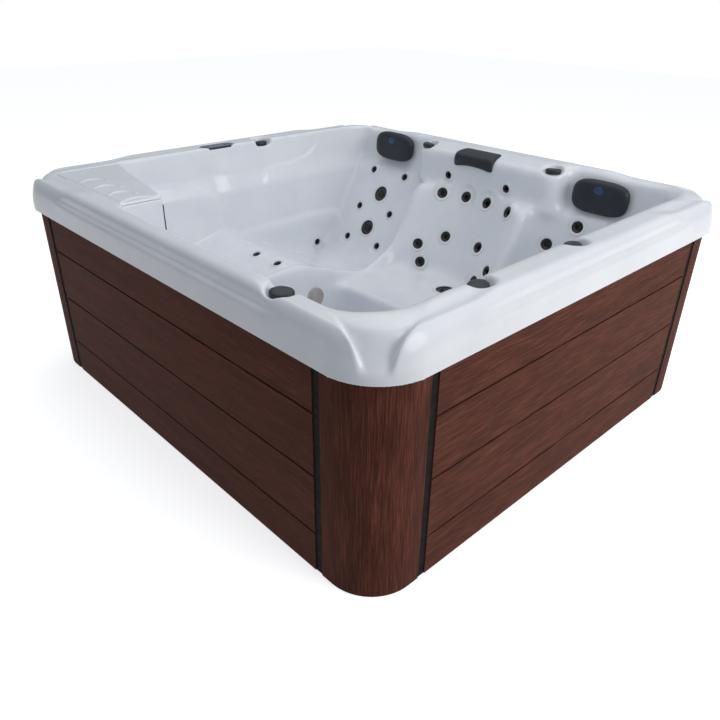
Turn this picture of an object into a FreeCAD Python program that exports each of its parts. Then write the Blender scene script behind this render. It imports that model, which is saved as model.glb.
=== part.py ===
import FreeCAD, Part
import math
import os
import re
import Sketcher

Vector = FreeCAD.Vector

# Driving dimensions in millimetres, angles in degrees. X runs along the front, +Y to the back, +Z up.
SIZES = {
    # Whole tub
    "overall_length": 2200,
    "overall_width": 2020,
    "overall_height": 880,
    "cut_overrun": 20,
    # Lip and deck of the shell
    "lip_overhang": 22,
    "lip_height": 140,
    "lip_radius": 185,
    "band_width": 18,
    "band_drop": 46,
    "band_round": 18,
    "deck_round": 22,
    "shell_wall": 10,
    "deck_thickness": 16,
    "valley_width": 110,
    "valley_reach": 112,
    "valley_drop": 98,
    "shoulder_length": 440,
    "shoulder_width": 70,
    # Skirt planks, edge strips and corner posts
    "plank_thickness": 20,
    "plank_groove": 7,
    "skirt_lift": 3,
    "skirt_top_gap": 2,
    "panel_gap": 1,
    "strip_reach": 235,
    "strip_width": 28,
    "strip_recess": 3,
    "post_radius": 162,
    "batten_width": 60,
    "batten_thickness": 12,
    # Base and frame
    "pan_thickness": 12,
    "pan_margin": 2,
    "bar_depth": 40,
    "bar_width": 60,
    "rail_height": 40,
    "side_upright_place": 330,
    "front_upright_place": 300,
    "support_size": 90,
    # Bowl: widths of the deck around it
    "deck_left": 150,
    "deck_right": 145,
    "deck_front": 105,
    "deck_back": 95,
    "bowl_radius": 150,
    "bowl_lean": 4,
    "head_block_left": 430,
    "head_block_right": 425,
    "head_block_depth": 125,
    "head_wall": 24,
    # Lounger along the left wall, from its head to its feet
    "lounger_inset": 35,
    "lounger_right": 345,
    "lounger_head_inset": 47,
    "lounger_back_y": 615,
    "lounger_seat_y": 540,
    "lounger_thigh_y": 330,
    "lounger_knee_y": -120,
    "lounger_foot_y": -560,
    "lounger_end_y": -765,
    # Armrest between lounger and middle seat
    "armrest_left": 400,
    "armrest_right": 240,
    "armrest_head_y": 720,
    "armrest_back_y": 637,
    "armrest_dip_y": 530,
    "armrest_low_y": 320,
    "armrest_knee_y": -60,
    "armrest_crest_y": -166,
    "armrest_end_y": -690,
    # Middle and corner seats, with hollow sloping backs
    "seat_front_y": -90,
    "middle_left": 305,
    "middle_right": 305,
    "middle_back_low": 590,
    "middle_head_reach": 5,
    "middle_sag": 100,
    "corner_left": 345,
    "corner_inset": 60,
    "corner_back_low": 740,
    "corner_head_inset": 53,
    "corner_sag": 60,
    "ridge_back_y": 700,
    "ridge_low_y": 480,
    # Benches on the near sides, and the footwell
    "bench_radius": 110,
    "side_bench_left": 400,
    "bench_inset": 55,
    "side_bench_back": 260,
    "front_bench_left": 340,
    "front_bench_right": 620,
    "front_bench_back": 440,
    "footwell_left": 310,
    "footwell_right": 480,
    "footwell_front": 520,
    "footwell_back": 140,
    "footwell_floor": 90,
    "footwell_radius": 100,
    # Skimmer corner: block, filter chamber, lid and weir
    "filter_overlap": 20,
    "filter_right": 350,
    "filter_depth_left": 295,
    "filter_depth_right": 175,
    "filter_wall": 12,
    "chamber_inset": 50,
    "chamber_back_inset": 20,
    "lid_inset": 15,
    "lid_back_inset": 8,
    "lid_gap": 1.5,
    "lid_thickness": 13,
    "lid_rib_width": 8,
    "lid_rib_height": 2.5,
    "lid_rib_radius": 62,
    "mouth_width": 170,
    "mouth_from_end": 42,
    "skimmer_frame_thickness": 10,
    "skimmer_frame_border": 18,
    "weir_thickness": 5,
    "weir_gap": 4,
    "weir_pin_radius": 4,
    "cartridge_radius": 62,
    "cartridge_core": 25,
    "cartridge_spacing": 140,
    "cartridge_length": 360,
    "cartridge_x": 690,
    "cartridge_inset": 97,
    # Pillows
    "pillow_width": 270,
    "pillow_height": 150,
    "pillow_depth": 52,
    "pillow_corner": 52,
    "pillow_draw": 16,
    "pillow_crown": 44,
    "pillow_standoff": 0.3,
    "lounger_pillow_x": -672,
    "corner_pillow_x": 600,
    "middle_pillow_x": -42,
    "middle_pillow_width": 232,
    "middle_pillow_thickness": 28,
    "middle_pillow_drop": 76,
    "middle_pillow_reach": 118,
    "middle_pillow_round": 40,
    "middle_pillow_bulge": 14,
    # Deck knobs, their pockets and valves
    "pocket_radius": 46,
    "cup_wall": 8,
    "pocket_depth": 32,
    "knob_radius": 36,
    "knob_base": 10,
    "knob_height": 28,
    "knob_grip_width": 34,
    "knob_grip_round": 10,
    "knob_lift": 0.5,
    "stem_radius": 8,
    "stem_length": 62,
    "valve_radius": 20,
    "valve_length": 88,
    "running_fit": 0.3,
    "knob_setback": 32,
    "far_knob_setback": 50,
    "front_knob_x": 664,
    "right_front_knob_y": 501,
    "right_back_knob_y": 9,
    "left_knob_y": 190,
    # Control panel
    "panel_length": 185,
    "panel_width": 72,
    "panel_depth": 24,
    "panel_setback": 44,
    "panel_place_y": -70,
    "panel_drop": 3,
    "display_length": 84,
    "display_width": 40,
    "display_thickness": 3,
    "button_radius": 8,
    "button_height": 9,
    "button_proud": 1.6,
    "button_travel": 1.2,
    # Jets: ring, nozzle and body, small and medium
    "small_ring_radius": 29,
    "small_nozzle_radius": 19,
    "medium_ring_radius": 42,
    "medium_nozzle_radius": 24.5,
    "jet_seat": 3,
    "jet_ring_height": 6,
    "jet_nozzle_depth": 34,
    "jet_body_depth": 54,
    "jet_body_wall": 4,
    "jet_nut_depth": 12,
    "jet_nut_clearance": 20,
    "jet_throat": 7,
    # Large jets with turning nozzles
    "large_ring_radius": 55,
    "large_nozzle_radius": 42,
    "seat_ring_radius": 62,
    "seat_nozzle_radius": 46,
    "large_body_depth": 60,
    "spindle_radius": 6,
    "lounger_jet_centre": -667,
    "lounger_jet_half_span": 121,
    # Small fittings in the shell
    "waterfall_length": 262,
    "waterfall_height": 16,
    "waterfall_depth": 72,
    "waterfall_proud": 22,
    "waterfall_lip": 4,
    "waterfall_y": -197,
    "suction_radius": 50,
    "suction_height": 14,
    "suction_neck": 25,
    "suction_y": -14,
    "drain_radius": 40,
    "drain_height": 6,
    "drain_neck": 15,
    "drain_x": 85,
    "drain_y": 60,
    "lens_radius": 8,
    "lens_depth": 16,
    # Pumps
    "pump_axis_z": 140,
    "pump_face_y": -570,
    "first_pump_x": 620,
    "second_pump_x": 850,
    "volute_radius": 88,
    "volute_length": 92,
    "volute_wall": 10,
    "neck_length": 40,
    "neck_radius": 32,
    "pipe_radius": 25,
    "pipe_wall": 3,
    "pipe_bend": 44,
    "discharge_reach": 98,
    "discharge_rise": 50,
    "motor_radius": 74,
    "motor_length": 240,
    "motor_flange": 12,
    "shaft_radius": 9,
    "impeller_radius": 70,
    "impeller_thickness": 26,
    "impeller_gap": 8,
    "cradle_width": 110,
    "cradle_length": 150,
    # Heater, control box and pipes
    "heater_length": 330,
    "heater_radius": 40,
    "heater_wall": 3,
    "union_length": 30,
    "saddle_width": 26,
    "saddle_depth": 70,
    "control_box_left": -290,
    "control_box_right": 20,
    "control_box_depth": 95,
    "control_box_height": 240,
    "control_box_wall": 4,
    "control_box_clear": 12,
    "manifold_radius": 34,
    "manifold_length": 220,
    "suction_pipe_x": -400,
    "suction_pipe_y": -250,
    "skimmer_pipe_y": -340,
    "low_pipe_z": 46,
    "side_pipe_end": -290,
    "drain_pipe_radius": 11,
    "drain_pipe_bend": 15,
    "drain_pipe_turn": -520,
    # Drain valve and cable gland, both through the left skirt
    "drain_valve_z": 100,
    "spout_radius": 13.2,
    "spout_shoulder": 15.5,
    "spout_bore": 8,
    "spout_proud": 17,
    "fitting_flange": 24,
    "fitting_flange_depth": 8,
    "drain_barrel_radius": 18,
    "drain_barrel_length": 56,
    "lever_length": 74,
    "lever_width": 16,
    "lever_thickness": 6,
    "lever_stem": 5,
    "lever_stem_depth": 8,
    "gland_y": 500,
    "gland_z": 100,
    "gland_radius": 18,
    "gland_bore": 12.5,
}

# Heights that keep their share of the whole height
HEIGHT_SHARES = {
    "bowl_floor": 0.78409,
    "lounger_head_z": 0.79545,
    "lounger_back_z": 0.30682,
    "lounger_seat_z": 0.25909,
    "lounger_thigh_z": 0.27273,
    "lounger_knee_z": 0.51705,
    "lounger_foot_z": 0.38636,
    "armrest_back_z": 0.65909,
    "armrest_dip_z": 0.45795,
    "armrest_low_z": 0.35682,
    "armrest_knee_z": 0.53409,
    "armrest_crest_z": 0.56818,
    "seat_floor": 0.32955,
    "seat_head": 0.79545,
    "ridge_low_z": 0.375,
    "bench_floor": 0.36364,
    "chamber_floor": 0.34091,
    "mouth_low": 0.76364,
    "mouth_high": 0.92273,
    "lounger_pillow_z": 0.90568,
    "corner_pillow_z": 0.87727,
    "waterfall_z": 0.94091,
    "suction_z": 0.28977,
    "lens_z": 0.82045,
    "lowest_groove": 0.17386,
    "plank_pitch": 0.24318,
}

# Places that follow from the sizes above
PLACES = {
    "bowl_left": "overall_length / 2 - deck_left",
    "bowl_right": "overall_length / 2 - deck_right",
    "bowl_front": "overall_width / 2 - deck_front",
    "bowl_back": "overall_width / 2 - deck_back",
    "head_block_face": "bowl_back - head_block_depth",
    "lounger_left": "bowl_left - lounger_inset",
    "lounger_head_y": "bowl_back - lounger_head_inset",
    "corner_right": "bowl_right - corner_inset",
    "corner_back_high": "bowl_back - corner_head_inset",
    "middle_back_high": "head_block_face + middle_head_reach",
    "side_bench_right": "bowl_right - bench_inset",
    "bench_front": "bowl_front - bench_inset",
    "filter_left": "bowl_left + filter_overlap",
    "filter_back": "bowl_front + filter_overlap",
    "filter_front_left": "bowl_front - filter_depth_left",
    "filter_front_right": "bowl_front - filter_depth_right",
    "chamber_left": "bowl_left - chamber_inset",
    "chamber_back": "bowl_front - chamber_back_inset",
    "lid_left": "bowl_left - lid_inset",
    "lid_back": "bowl_front - lid_back_inset",
    "cartridge_y": "bowl_front - cartridge_inset",
}

doc = FreeCAD.newDocument("HotTub")
sheet = doc.addObject("Spreadsheet::Sheet", "Sizes")
cells = {alias: str(number) for alias, number in SIZES.items()}
cells.update({alias: f"=overall_height * {share}" for alias, share in HEIGHT_SHARES.items()})
cells.update({alias: f"={formula}" for alias, formula in PLACES.items()})
for row, (alias, content) in enumerate(cells.items(), 1):
    sheet.set(f"A{row}", alias)
    sheet.set(f"B{row}", content)
    sheet.setAlias(f"B{row}", alias)
doc.recompute()

NODES = []

# Turns that lay an upright round along an axis
UPRIGHT = FreeCAD.Rotation()
ALONG_X = FreeCAD.Rotation(Vector(0, 0, 1), Vector(1, 0, 0))
ALONG_MINUS_X = FreeCAD.Rotation(Vector(0, 0, 1), Vector(-1, 0, 0))
ALONG_Y = FreeCAD.Rotation(Vector(0, 0, 1), Vector(0, 1, 0))
ALONG_MINUS_Y = FreeCAD.Rotation(Vector(0, 0, 1), Vector(0, -1, 0))


def linked(text):
    """The expression with every size name pointing at its cell."""
    return re.sub(r"[a-z]\w*\b(?!\()", r"Sizes.\g<0>", text)


def value(text):
    return float(sheet.evalExpression(linked(text)))


def bind(item, **sizes):
    for name, text in sizes.items():
        item.setExpression(name, linked(text))
    return item


def place(item, x="0", y="0", z="0", turn=UPRIGHT):
    item.Placement = FreeCAD.Placement(Vector(value(x), value(y), value(z)), turn)
    for axis, text in zip("xyz", (x, y, z)):
        item.setExpression("Placement.Base." + axis, linked(text))
    return item


def keep(item, label):
    """Marks an object as a finished sub-part."""
    item.Label = label
    NODES.append(item)
    return item


def box(name, x, y, z):
    """A block that runs between two places along each axis."""
    item = doc.addObject("Part::Box", name)
    spans = [f"({high}) - ({low})" for low, high in (x, y, z)]
    bind(item, Length=spans[0], Width=spans[1], Height=spans[2])
    return place(item, x[0], y[0], z[0])


def rod(name, radius, length, x="0", y="0", z="0", turn=UPRIGHT):
    item = doc.addObject("Part::Cylinder", name)
    bind(item, Radius=radius, Height=length)
    return place(item, x, y, z, turn)


def fuse(name, items):
    item = doc.addObject("Part::MultiFuse", name)
    item.Shapes = items
    return item


def cut(name, base, tool):
    item = doc.addObject("Part::Cut", name)
    item.Base = base
    item.Tool = tool
    return item


def common(name, base, tool):
    item = doc.addObject("Part::Common", name)
    item.Base = base
    item.Tool = tool
    return item


def group(name, items):
    item = doc.addObject("Part::Compound", name)
    item.Links = items
    return item


def copies(name, master, places):
    """Like pieces: the master's shape once at each place."""
    doc.recompute()
    shapes = []
    for spot in places:
        shape = master.Shape.copy()
        shape.Placement = spot
        shapes.append(shape)
    item = doc.addObject("Part::Feature", name)
    item.Shape = Part.makeCompound(shapes)
    return item


def new_body(name):
    return doc.addObject("PartDesign::Body", name)


def new_sketch(body, role, offset="0"):
    plane = next(item for item in body.Origin.OriginFeatures if item.Role == role)
    sketch = body.newObject("Sketcher::SketchObject", body.Name + "Sketch")
    sketch.AttachmentSupport = [(plane, "")]
    sketch.MapMode = "FlatFace"
    sketch.setExpression("AttachmentOffset.Base.z", linked(offset))
    return sketch


def hold(sketch, kind, *where):
    """Fixes a point or a size in a sketch to an expression, or to an axis when that is zero."""
    *target, text = where
    if text == "0":
        sketch.addConstraint(Sketcher.Constraint("PointOnObject", *target, -2 if kind == "DistanceX" else -1))
        return
    if kind in ("DistanceX", "DistanceY"):
        target = [-1, 1, *target]
    index = sketch.addConstraint(Sketcher.Constraint(kind, *target, value(text)))
    sketch.setExpression(f"Constraints[{index}]", linked(text))


def polygon_outline(sketch, points):
    """A closed outline of straight lines with every corner held."""
    corners = [Vector(value(x), value(y), 0) for x, y in points]
    count = len(corners)
    lines = [Part.LineSegment(corners[i], corners[(i + 1) % count]) for i in range(count)]
    sketch.addGeometry(lines, False)
    for i in range(count):
        sketch.addConstraint(Sketcher.Constraint("Coincident", i, 2, (i + 1) % count, 1))
    for i, (x, y) in enumerate(points):
        hold(sketch, "DistanceX", i, 1, x)
        hold(sketch, "DistanceY", i, 1, y)


def rounded_outline(sketch, left, right, front, back, radius):
    """A rectangle with four like rounded corners."""
    x0, x1, y0, y1, r = (value(text) for text in (left, right, front, back, radius))
    quarter = math.pi / 2
    centres = [(x1 - r, y0 + r), (x1 - r, y1 - r), (x0 + r, y1 - r), (x0 + r, y0 + r)]
    ends = [((x0 + r, y0), (x1 - r, y0)), ((x1, y0 + r), (x1, y1 - r))]
    ends += [((x1 - r, y1), (x0 + r, y1)), ((x0, y1 - r), (x0, y0 + r))]
    for side, ((a, b), (cx, cy)) in enumerate(zip(ends, centres)):
        sketch.addGeometry(Part.LineSegment(Vector(*a, 0), Vector(*b, 0)), False)
        circle = Part.Circle(Vector(cx, cy, 0), Vector(0, 0, 1), r)
        sketch.addGeometry(Part.ArcOfCircle(circle, (side - 1) * quarter, side * quarter), False)
    for i in range(8):
        sketch.addConstraint(Sketcher.Constraint("Tangent", i, 2, (i + 1) % 8, 1))
    for line, kind in ((0, "Horizontal"), (2, "Vertical"), (4, "Horizontal"), (6, "Vertical")):
        sketch.addConstraint(Sketcher.Constraint(kind, line))
    for arc in (3, 5, 7):
        sketch.addConstraint(Sketcher.Constraint("Equal", 1, arc))
    hold(sketch, "Radius", 1, radius)
    hold(sketch, "DistanceX", 6, 1, left)
    hold(sketch, "DistanceX", 2, 1, right)
    hold(sketch, "DistanceY", 0, 1, front)
    hold(sketch, "DistanceY", 4, 1, back)


def hollow_outline(sketch, left, right, front, back, sag):
    """A seat's plan: three straight sides and a back that curves away in the middle."""
    x0, x1, y0, y1, depth = (value(text) for text in (left, right, front, back, sag))
    half = (x1 - x0) / 2
    radius = (half**2 + depth**2) / (2 * depth)
    centre = Vector((x0 + x1) / 2, y1 - radius, 0)
    swing = math.asin(half / radius)
    corners = [Vector(x0, y0, 0), Vector(x1, y0, 0), Vector(x1, y1 - depth, 0), Vector(x0, y1 - depth, 0)]
    arc = Part.ArcOfCircle(Part.Circle(centre, Vector(0, 0, 1), radius), math.pi / 2 - swing,
                           math.pi / 2 + swing)
    sketch.addGeometry(Part.LineSegment(corners[0], corners[1]), False)
    sketch.addGeometry(Part.LineSegment(corners[1], corners[2]), False)
    sketch.addGeometry(arc, False)
    sketch.addGeometry(Part.LineSegment(corners[3], corners[0]), False)
    for i in range(4):
        sketch.addConstraint(Sketcher.Constraint("Coincident", i, 2, (i + 1) % 4, 1))
    for line, kind in ((0, "Horizontal"), (1, "Vertical"), (3, "Vertical")):
        sketch.addConstraint(Sketcher.Constraint(kind, line))
    sketch.addConstraint(Sketcher.Constraint("Horizontal", 1, 2, 3, 1))
    hold(sketch, "DistanceX", 0, 1, left)
    hold(sketch, "DistanceX", 1, 1, right)
    hold(sketch, "DistanceY", 0, 1, front)
    hold(sketch, "DistanceY", 1, 2, f"({back}) - ({sag})")
    hold(sketch, "Radius", 2, f"((({right}) - ({left}))^2 / 4 + ({sag})^2) / (2 * ({sag}))")


def pad(body, sketch, length):
    item = body.newObject("PartDesign::Pad", body.Name + "Pad")
    item.Profile = sketch
    bind(item, Length=length)
    return item


def round_edges(body, feature, radius, wanted):
    """Rounds the edges of a body's last feature that the test picks."""
    doc.recompute()
    names = [f"Edge{i}" for i, edge in enumerate(feature.Shape.Edges, 1) if wanted(edge)]
    item = body.newObject("PartDesign::Fillet", body.Name + "Round")
    item.Base = (feature, names)
    bind(item, Radius=radius)
    return item


SAME_PLACE = 1e-4


def flat_at(height):
    """Picks the edges that lie at one height."""
    level = value(height)
    return lambda edge: max(abs(edge.BoundBox.ZMin - level), abs(edge.BoundBox.ZMax - level)) < SAME_PLACE


def rounded_block(name, left, right, front, back, radius, low, high, lean=None):
    """An upright block of rounded plan; with a lean it narrows downwards."""
    body = new_body(name)
    if lean is None:
        sketch = new_sketch(body, "XY_Plane", low)
    else:
        sketch = new_sketch(body, "XY_Plane", high)
    rounded_outline(sketch, left, right, front, back, radius)
    item = pad(body, sketch, f"({high}) - ({low})")
    if lean is not None:
        item.Reversed = True
        bind(item, TaperAngle="-" + lean)
    return body


def prism_along_x(name, points, left, right):
    """A side outline of (y, z) corners carried from one x to another."""
    body = new_body(name)
    sketch = new_sketch(body, "YZ_Plane", left)
    polygon_outline(sketch, points)
    pad(body, sketch, f"({right}) - ({left})")
    return body


def plan_prism(name, points, low, high):
    body = new_body(name)
    sketch = new_sketch(body, "XY_Plane", low)
    polygon_outline(sketch, points)
    pad(body, sketch, f"({high}) - ({low})")
    return body


def turned(name, points):
    """A body of revolution about its own Z from an outline of (radius, height) corners."""
    body = new_body(name)
    sketch = new_sketch(body, "XZ_Plane")
    polygon_outline(sketch, points)
    item = body.newObject("PartDesign::Revolution", name + "Turn")
    item.Profile = sketch
    item.ReferenceAxis = (sketch, ["V_Axis"])
    item.Angle = 360
    return body


def tube_outline(inner, outer, low, high):
    return [(inner, low), (outer, low), (outer, high), (inner, high)]


def bent_path(points, bend):
    """Straight runs joined by tangent arcs of one radius."""
    edges = []
    start = points[0]
    for before, corner, after in zip(points, points[1:], points[2:]):
        arriving = (corner - before).normalize()
        leaving = (after - corner).normalize()
        half_turn = arriving.getAngle(leaving) / 2
        run = bend * math.tan(half_turn)
        first = corner - arriving * run
        last = corner + leaving * run
        inward = (leaving - arriving).normalize()
        middle = corner + inward * (bend / math.cos(half_turn) - bend)
        edges.append(Part.LineSegment(start, first).toShape())
        edges.append(Part.Arc(first, middle, last).toShape())
        start = last
    edges.append(Part.LineSegment(start, points[-1]).toShape())
    return Part.Wire(edges)


def pipe(name, route, radius, bend):
    """A bent tube along a route of places; its wall is the pipes' own."""
    points = [Vector(*(value(text) for text in spot)) for spot in route]
    path = bent_path(points, value(bend))
    heading = points[1] - points[0]

    def swept(size):
        ring = Part.Wire(Part.makeCircle(size, points[0], heading))
        return path.makePipeShell([ring], True, False)

    item = doc.addObject("Part::Feature", name)
    item.Shape = swept(value(radius)).cut(swept(value(f"({radius}) - pipe_wall")))
    return item


# Places that several pieces share
HALF_X = "overall_length / 2"
HALF_Y = "overall_width / 2"
SKIRT_X = "(overall_length / 2 - lip_overhang)"
SKIRT_Y = "(overall_width / 2 - lip_overhang)"
FRAME_X = "(overall_length / 2 - lip_overhang - plank_thickness)"
FRAME_Y = "(overall_width / 2 - lip_overhang - plank_thickness)"
LIP_BOTTOM = "(overall_height - lip_height)"
SKIRT_TOP = "(overall_height - lip_height - skirt_top_gap)"
DECK_UNDERSIDE = "(overall_height - deck_thickness)"
BAND_TOP = "(overall_height - band_drop)"
BAND_UNDERSIDE = "(overall_height - band_drop - shell_wall)"
ABOVE = "(overall_height + cut_overrun)"
RAIL_TOP = "(pan_thickness + rail_height)"


def base_pan():
    inset = "pan_margin"
    body = rounded_block(
        "BasePan",
        f"{inset} - {FRAME_X}",
        f"{FRAME_X} - {inset}",
        f"{inset} - {FRAME_Y}",
        f"{FRAME_Y} - {inset}",
        "post_radius - plank_thickness - pan_margin",
        "0",
        "pan_thickness",
    )
    keep(body, "base_pan")


def frame_side_bars(name, low, high):
    """Four bars of one level, one along each side between the corner uprights."""
    x_reach = f"({SKIRT_X} - strip_reach + bar_width / 2)"
    y_reach = f"({SKIRT_Y} - strip_reach + bar_width / 2)"
    bars = []
    for side, inner, outer in (("Front", f"-{FRAME_Y}", f"bar_depth - {FRAME_Y}"),
                               ("Back", f"{FRAME_Y} - bar_depth", FRAME_Y)):
        bars.append(box(name + side, (f"-{x_reach}", x_reach), (inner, outer), (low, high)))
    for side, inner, outer in (("Left", f"-{FRAME_X}", f"bar_depth - {FRAME_X}"),
                               ("Right", f"{FRAME_X} - bar_depth", FRAME_X)):
        bars.append(box(name + side, (inner, outer), (f"-{y_reach}", y_reach), (low, high)))
    return bars


def upright_places():
    """Middle, side and top of each upright: two behind the strips and two between on every side."""
    along_x = ((f"{SKIRT_X} - strip_reach", BAND_UNDERSIDE), ("front_upright_place", DECK_UNDERSIDE))
    along_y = ((f"{SKIRT_Y} - strip_reach", BAND_UNDERSIDE), ("side_upright_place", DECK_UNDERSIDE))
    places = []
    for sign in ("-", ""):
        for text, top in along_x:
            places.append((f"{sign}({text})", "x", top))
        for text, top in along_y:
            places.append((f"{sign}({text})", "y", top))
    return places


def frame():
    """Timber frame: bottom rails on the pan, uprights under the deck, top rails behind the top planks."""
    top_low = f"({SKIRT_TOP} - rail_height)"
    keep(group("BottomRails", frame_side_bars("BottomRail", "pan_thickness", RAIL_TOP)), "frame_bottom_rails")
    posts = []
    for index, (along, axis, top) in enumerate(upright_places()):
        span = (f"{along} - bar_width / 2", f"{along} + bar_width / 2")
        for side, sign in (("Near", "-"), ("Far", "")):
            frame_face = FRAME_Y if axis == "x" else FRAME_X
            depth = (f"{sign}{frame_face}", f"{sign}({frame_face} - bar_depth)")
            low, high = depth if sign == "-" else depth[::-1]
            name = f"Upright{index}{side}"
            upright_z = (RAIL_TOP, top)
            if axis == "x":
                posts.append(box(name, span, (low, high), upright_z))
            else:
                posts.append(box(name, (low, high), span, upright_z))
    uprights = group("Uprights", posts)
    keep(uprights, "frame_uprights")
    rails = group("TopRailBars", frame_side_bars("TopRail", top_low, SKIRT_TOP))
    keep(cut("TopRails", rails, uprights), "frame_top_rails")


SUPPORT_SHARES = (0.22, 0.78)


def footwell_supports():
    """Blocks that carry the footwell on the pan, clear of the pipes between them."""
    blocks = []
    for x_share in SUPPORT_SHARES:
        for y_place in ("-footwell_front + support_size", "drain_y - support_size"):
            x = f"(-footwell_left + {x_share} * (footwell_left + footwell_right))"
            span_x = (f"{x} - support_size / 2", f"{x} + support_size / 2")
            y = f"({y_place})"
            span_y = (f"{y} - support_size / 2", f"{y} + support_size / 2")
            name = f"Support{len(blocks)}"
            blocks.append(box(name, span_x, span_y, ("pan_thickness", "footwell_floor - shell_wall")))
    keep(group("FootwellSupports", blocks), "footwell_supports")


def plank_courses():
    """Heights of the four courses, from the ground to the lip."""
    grooves = [f"(lowest_groove + {i} * plank_pitch)" for i in range(3)]
    lows = ["skirt_lift"] + [f"{groove} + plank_groove / 2" for groove in grooves]
    highs = [f"{groove} - plank_groove / 2" for groove in grooves] + [SKIRT_TOP]
    return list(zip(lows, highs))


def planks():
    long_reach = f"({SKIRT_X} - strip_reach - panel_gap)"
    short_reach = f"({SKIRT_Y} - strip_reach - panel_gap)"
    sides = {
        "front_planks": ((f"-{long_reach}", long_reach), (f"-{SKIRT_Y}", f"-{FRAME_Y}")),
        "back_planks": ((f"-{long_reach}", long_reach), (FRAME_Y, SKIRT_Y)),
        "right_planks": ((FRAME_X, SKIRT_X), (f"-{short_reach}", short_reach)),
        "left_planks": ((f"-{SKIRT_X}", f"-{FRAME_X}"), (f"-{short_reach}", short_reach)),
    }
    for label, (x, y) in sides.items():
        name = label.title().replace("_", "")
        boards = [box(f"{name}{i}", x, y, z) for i, z in enumerate(plank_courses())]
        side = group(name, boards)
        if label == "left_planks":
            holes = [
                rod("SpoutHole", "spout_shoulder + running_fit", "plank_thickness + 2 * cut_overrun",
                    f"-{SKIRT_X} - cut_overrun", "drain_y", "drain_valve_z", ALONG_X),
                rod("GlandHole", "gland_radius + running_fit", "plank_thickness + 2 * cut_overrun",
                    f"-{SKIRT_X} - cut_overrun", "gland_y", "gland_z", ALONG_X),
            ]
            side = cut(name + "Drilled", side, group("SkirtHoles", holes))
        keep(side, label)


BATTEN_SHARES = (-0.72, 0, 0.72)


def panel_battens():
    """Upright battens that join the front planks into one pull-off panel."""
    z = (f"{RAIL_TOP} + panel_gap", f"{SKIRT_TOP} - rail_height - panel_gap")
    battens = []
    for share in BATTEN_SHARES:
        x = f"({share} * ({SKIRT_X} - strip_reach))"
        span = (f"{x} - batten_width / 2", f"{x} + batten_width / 2")
        battens.append(box(f"Batten{len(battens)}", span, (f"-{FRAME_Y}", f"batten_thickness - {FRAME_Y}"),
                           z))
    keep(group("PanelBattens", battens), "panel_battens")


def corner_post(label, x, y, turn):
    """A post that rounds the skirt's corner; its own corner point is its origin."""
    body = new_body(label.title().replace("_", ""))
    sketch = new_sketch(body, "XY_Plane")
    leg = value("strip_reach - strip_width - panel_gap")
    outer = value("post_radius")
    wall = value("plank_thickness")
    centre = Vector(-outer, -outer, 0)
    inner = outer - wall
    corners = [
        (Vector(-leg, 0, 0), Vector(-outer, 0, 0)),
        (Vector(0, -outer, 0), Vector(0, -leg, 0)),
        (Vector(0, -leg, 0), Vector(-wall, -leg, 0)),
        (Vector(-wall, -leg, 0), Vector(-wall, -outer, 0)),
        (Vector(-outer, -wall, 0), Vector(-leg, -wall, 0)),
        (Vector(-leg, -wall, 0), Vector(-leg, 0, 0)),
    ]
    sketch.addGeometry([Part.LineSegment(a, b) for a, b in corners], False)
    for radius in (outer, inner):
        circle = Part.Circle(centre, Vector(0, 0, 1), radius)
        sketch.addGeometry(Part.ArcOfCircle(circle, 0, math.pi / 2), False)
    joins = [("Tangent", 0, 2, 6, 2), ("Tangent", 6, 1, 1, 1), ("Coincident", 1, 2, 2, 1),
             ("Coincident", 2, 2, 3, 1), ("Tangent", 3, 2, 7, 1), ("Tangent", 7, 2, 4, 1),
             ("Coincident", 4, 2, 5, 1), ("Coincident", 5, 2, 0, 1)]
    for join in joins:
        sketch.addConstraint(Sketcher.Constraint(*join))
    for line, kind in ((0, "Horizontal"), (1, "Vertical"), (2, "Horizontal"), (5, "Vertical")):
        sketch.addConstraint(Sketcher.Constraint(kind, line))
    hold(sketch, "DistanceX", 0, 1, "-(strip_reach - strip_width - panel_gap)")
    hold(sketch, "DistanceY", 0, 1, "0")
    hold(sketch, "DistanceX", 1, 1, "0")
    hold(sketch, "DistanceY", 1, 2, "-(strip_reach - strip_width - panel_gap)")
    hold(sketch, "Radius", 6, "post_radius")
    hold(sketch, "Radius", 7, "post_radius - plank_thickness")
    hold(sketch, "DistanceX", 3, 1, "-plank_thickness")
    hold(sketch, "DistanceY", 4, 2, "-plank_thickness")
    pad(body, sketch, f"{SKIRT_TOP} - skirt_lift")
    keep(place(body, x, y, "skirt_lift", turn), label)


def corner_posts():
    quarter = 90
    spots = {
        "corner_post_back_right": (SKIRT_X, SKIRT_Y, 0),
        "corner_post_back_left": (f"-{SKIRT_X}", SKIRT_Y, 1),
        "corner_post_front_left": (f"-{SKIRT_X}", f"-{SKIRT_Y}", 2),
        "corner_post_front_right": (SKIRT_X, f"-{SKIRT_Y}", 3),
    }
    for label, (x, y, turns) in spots.items():
        corner_post(label, x, y, FreeCAD.Rotation(Vector(0, 0, 1), turns * quarter))


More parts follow.
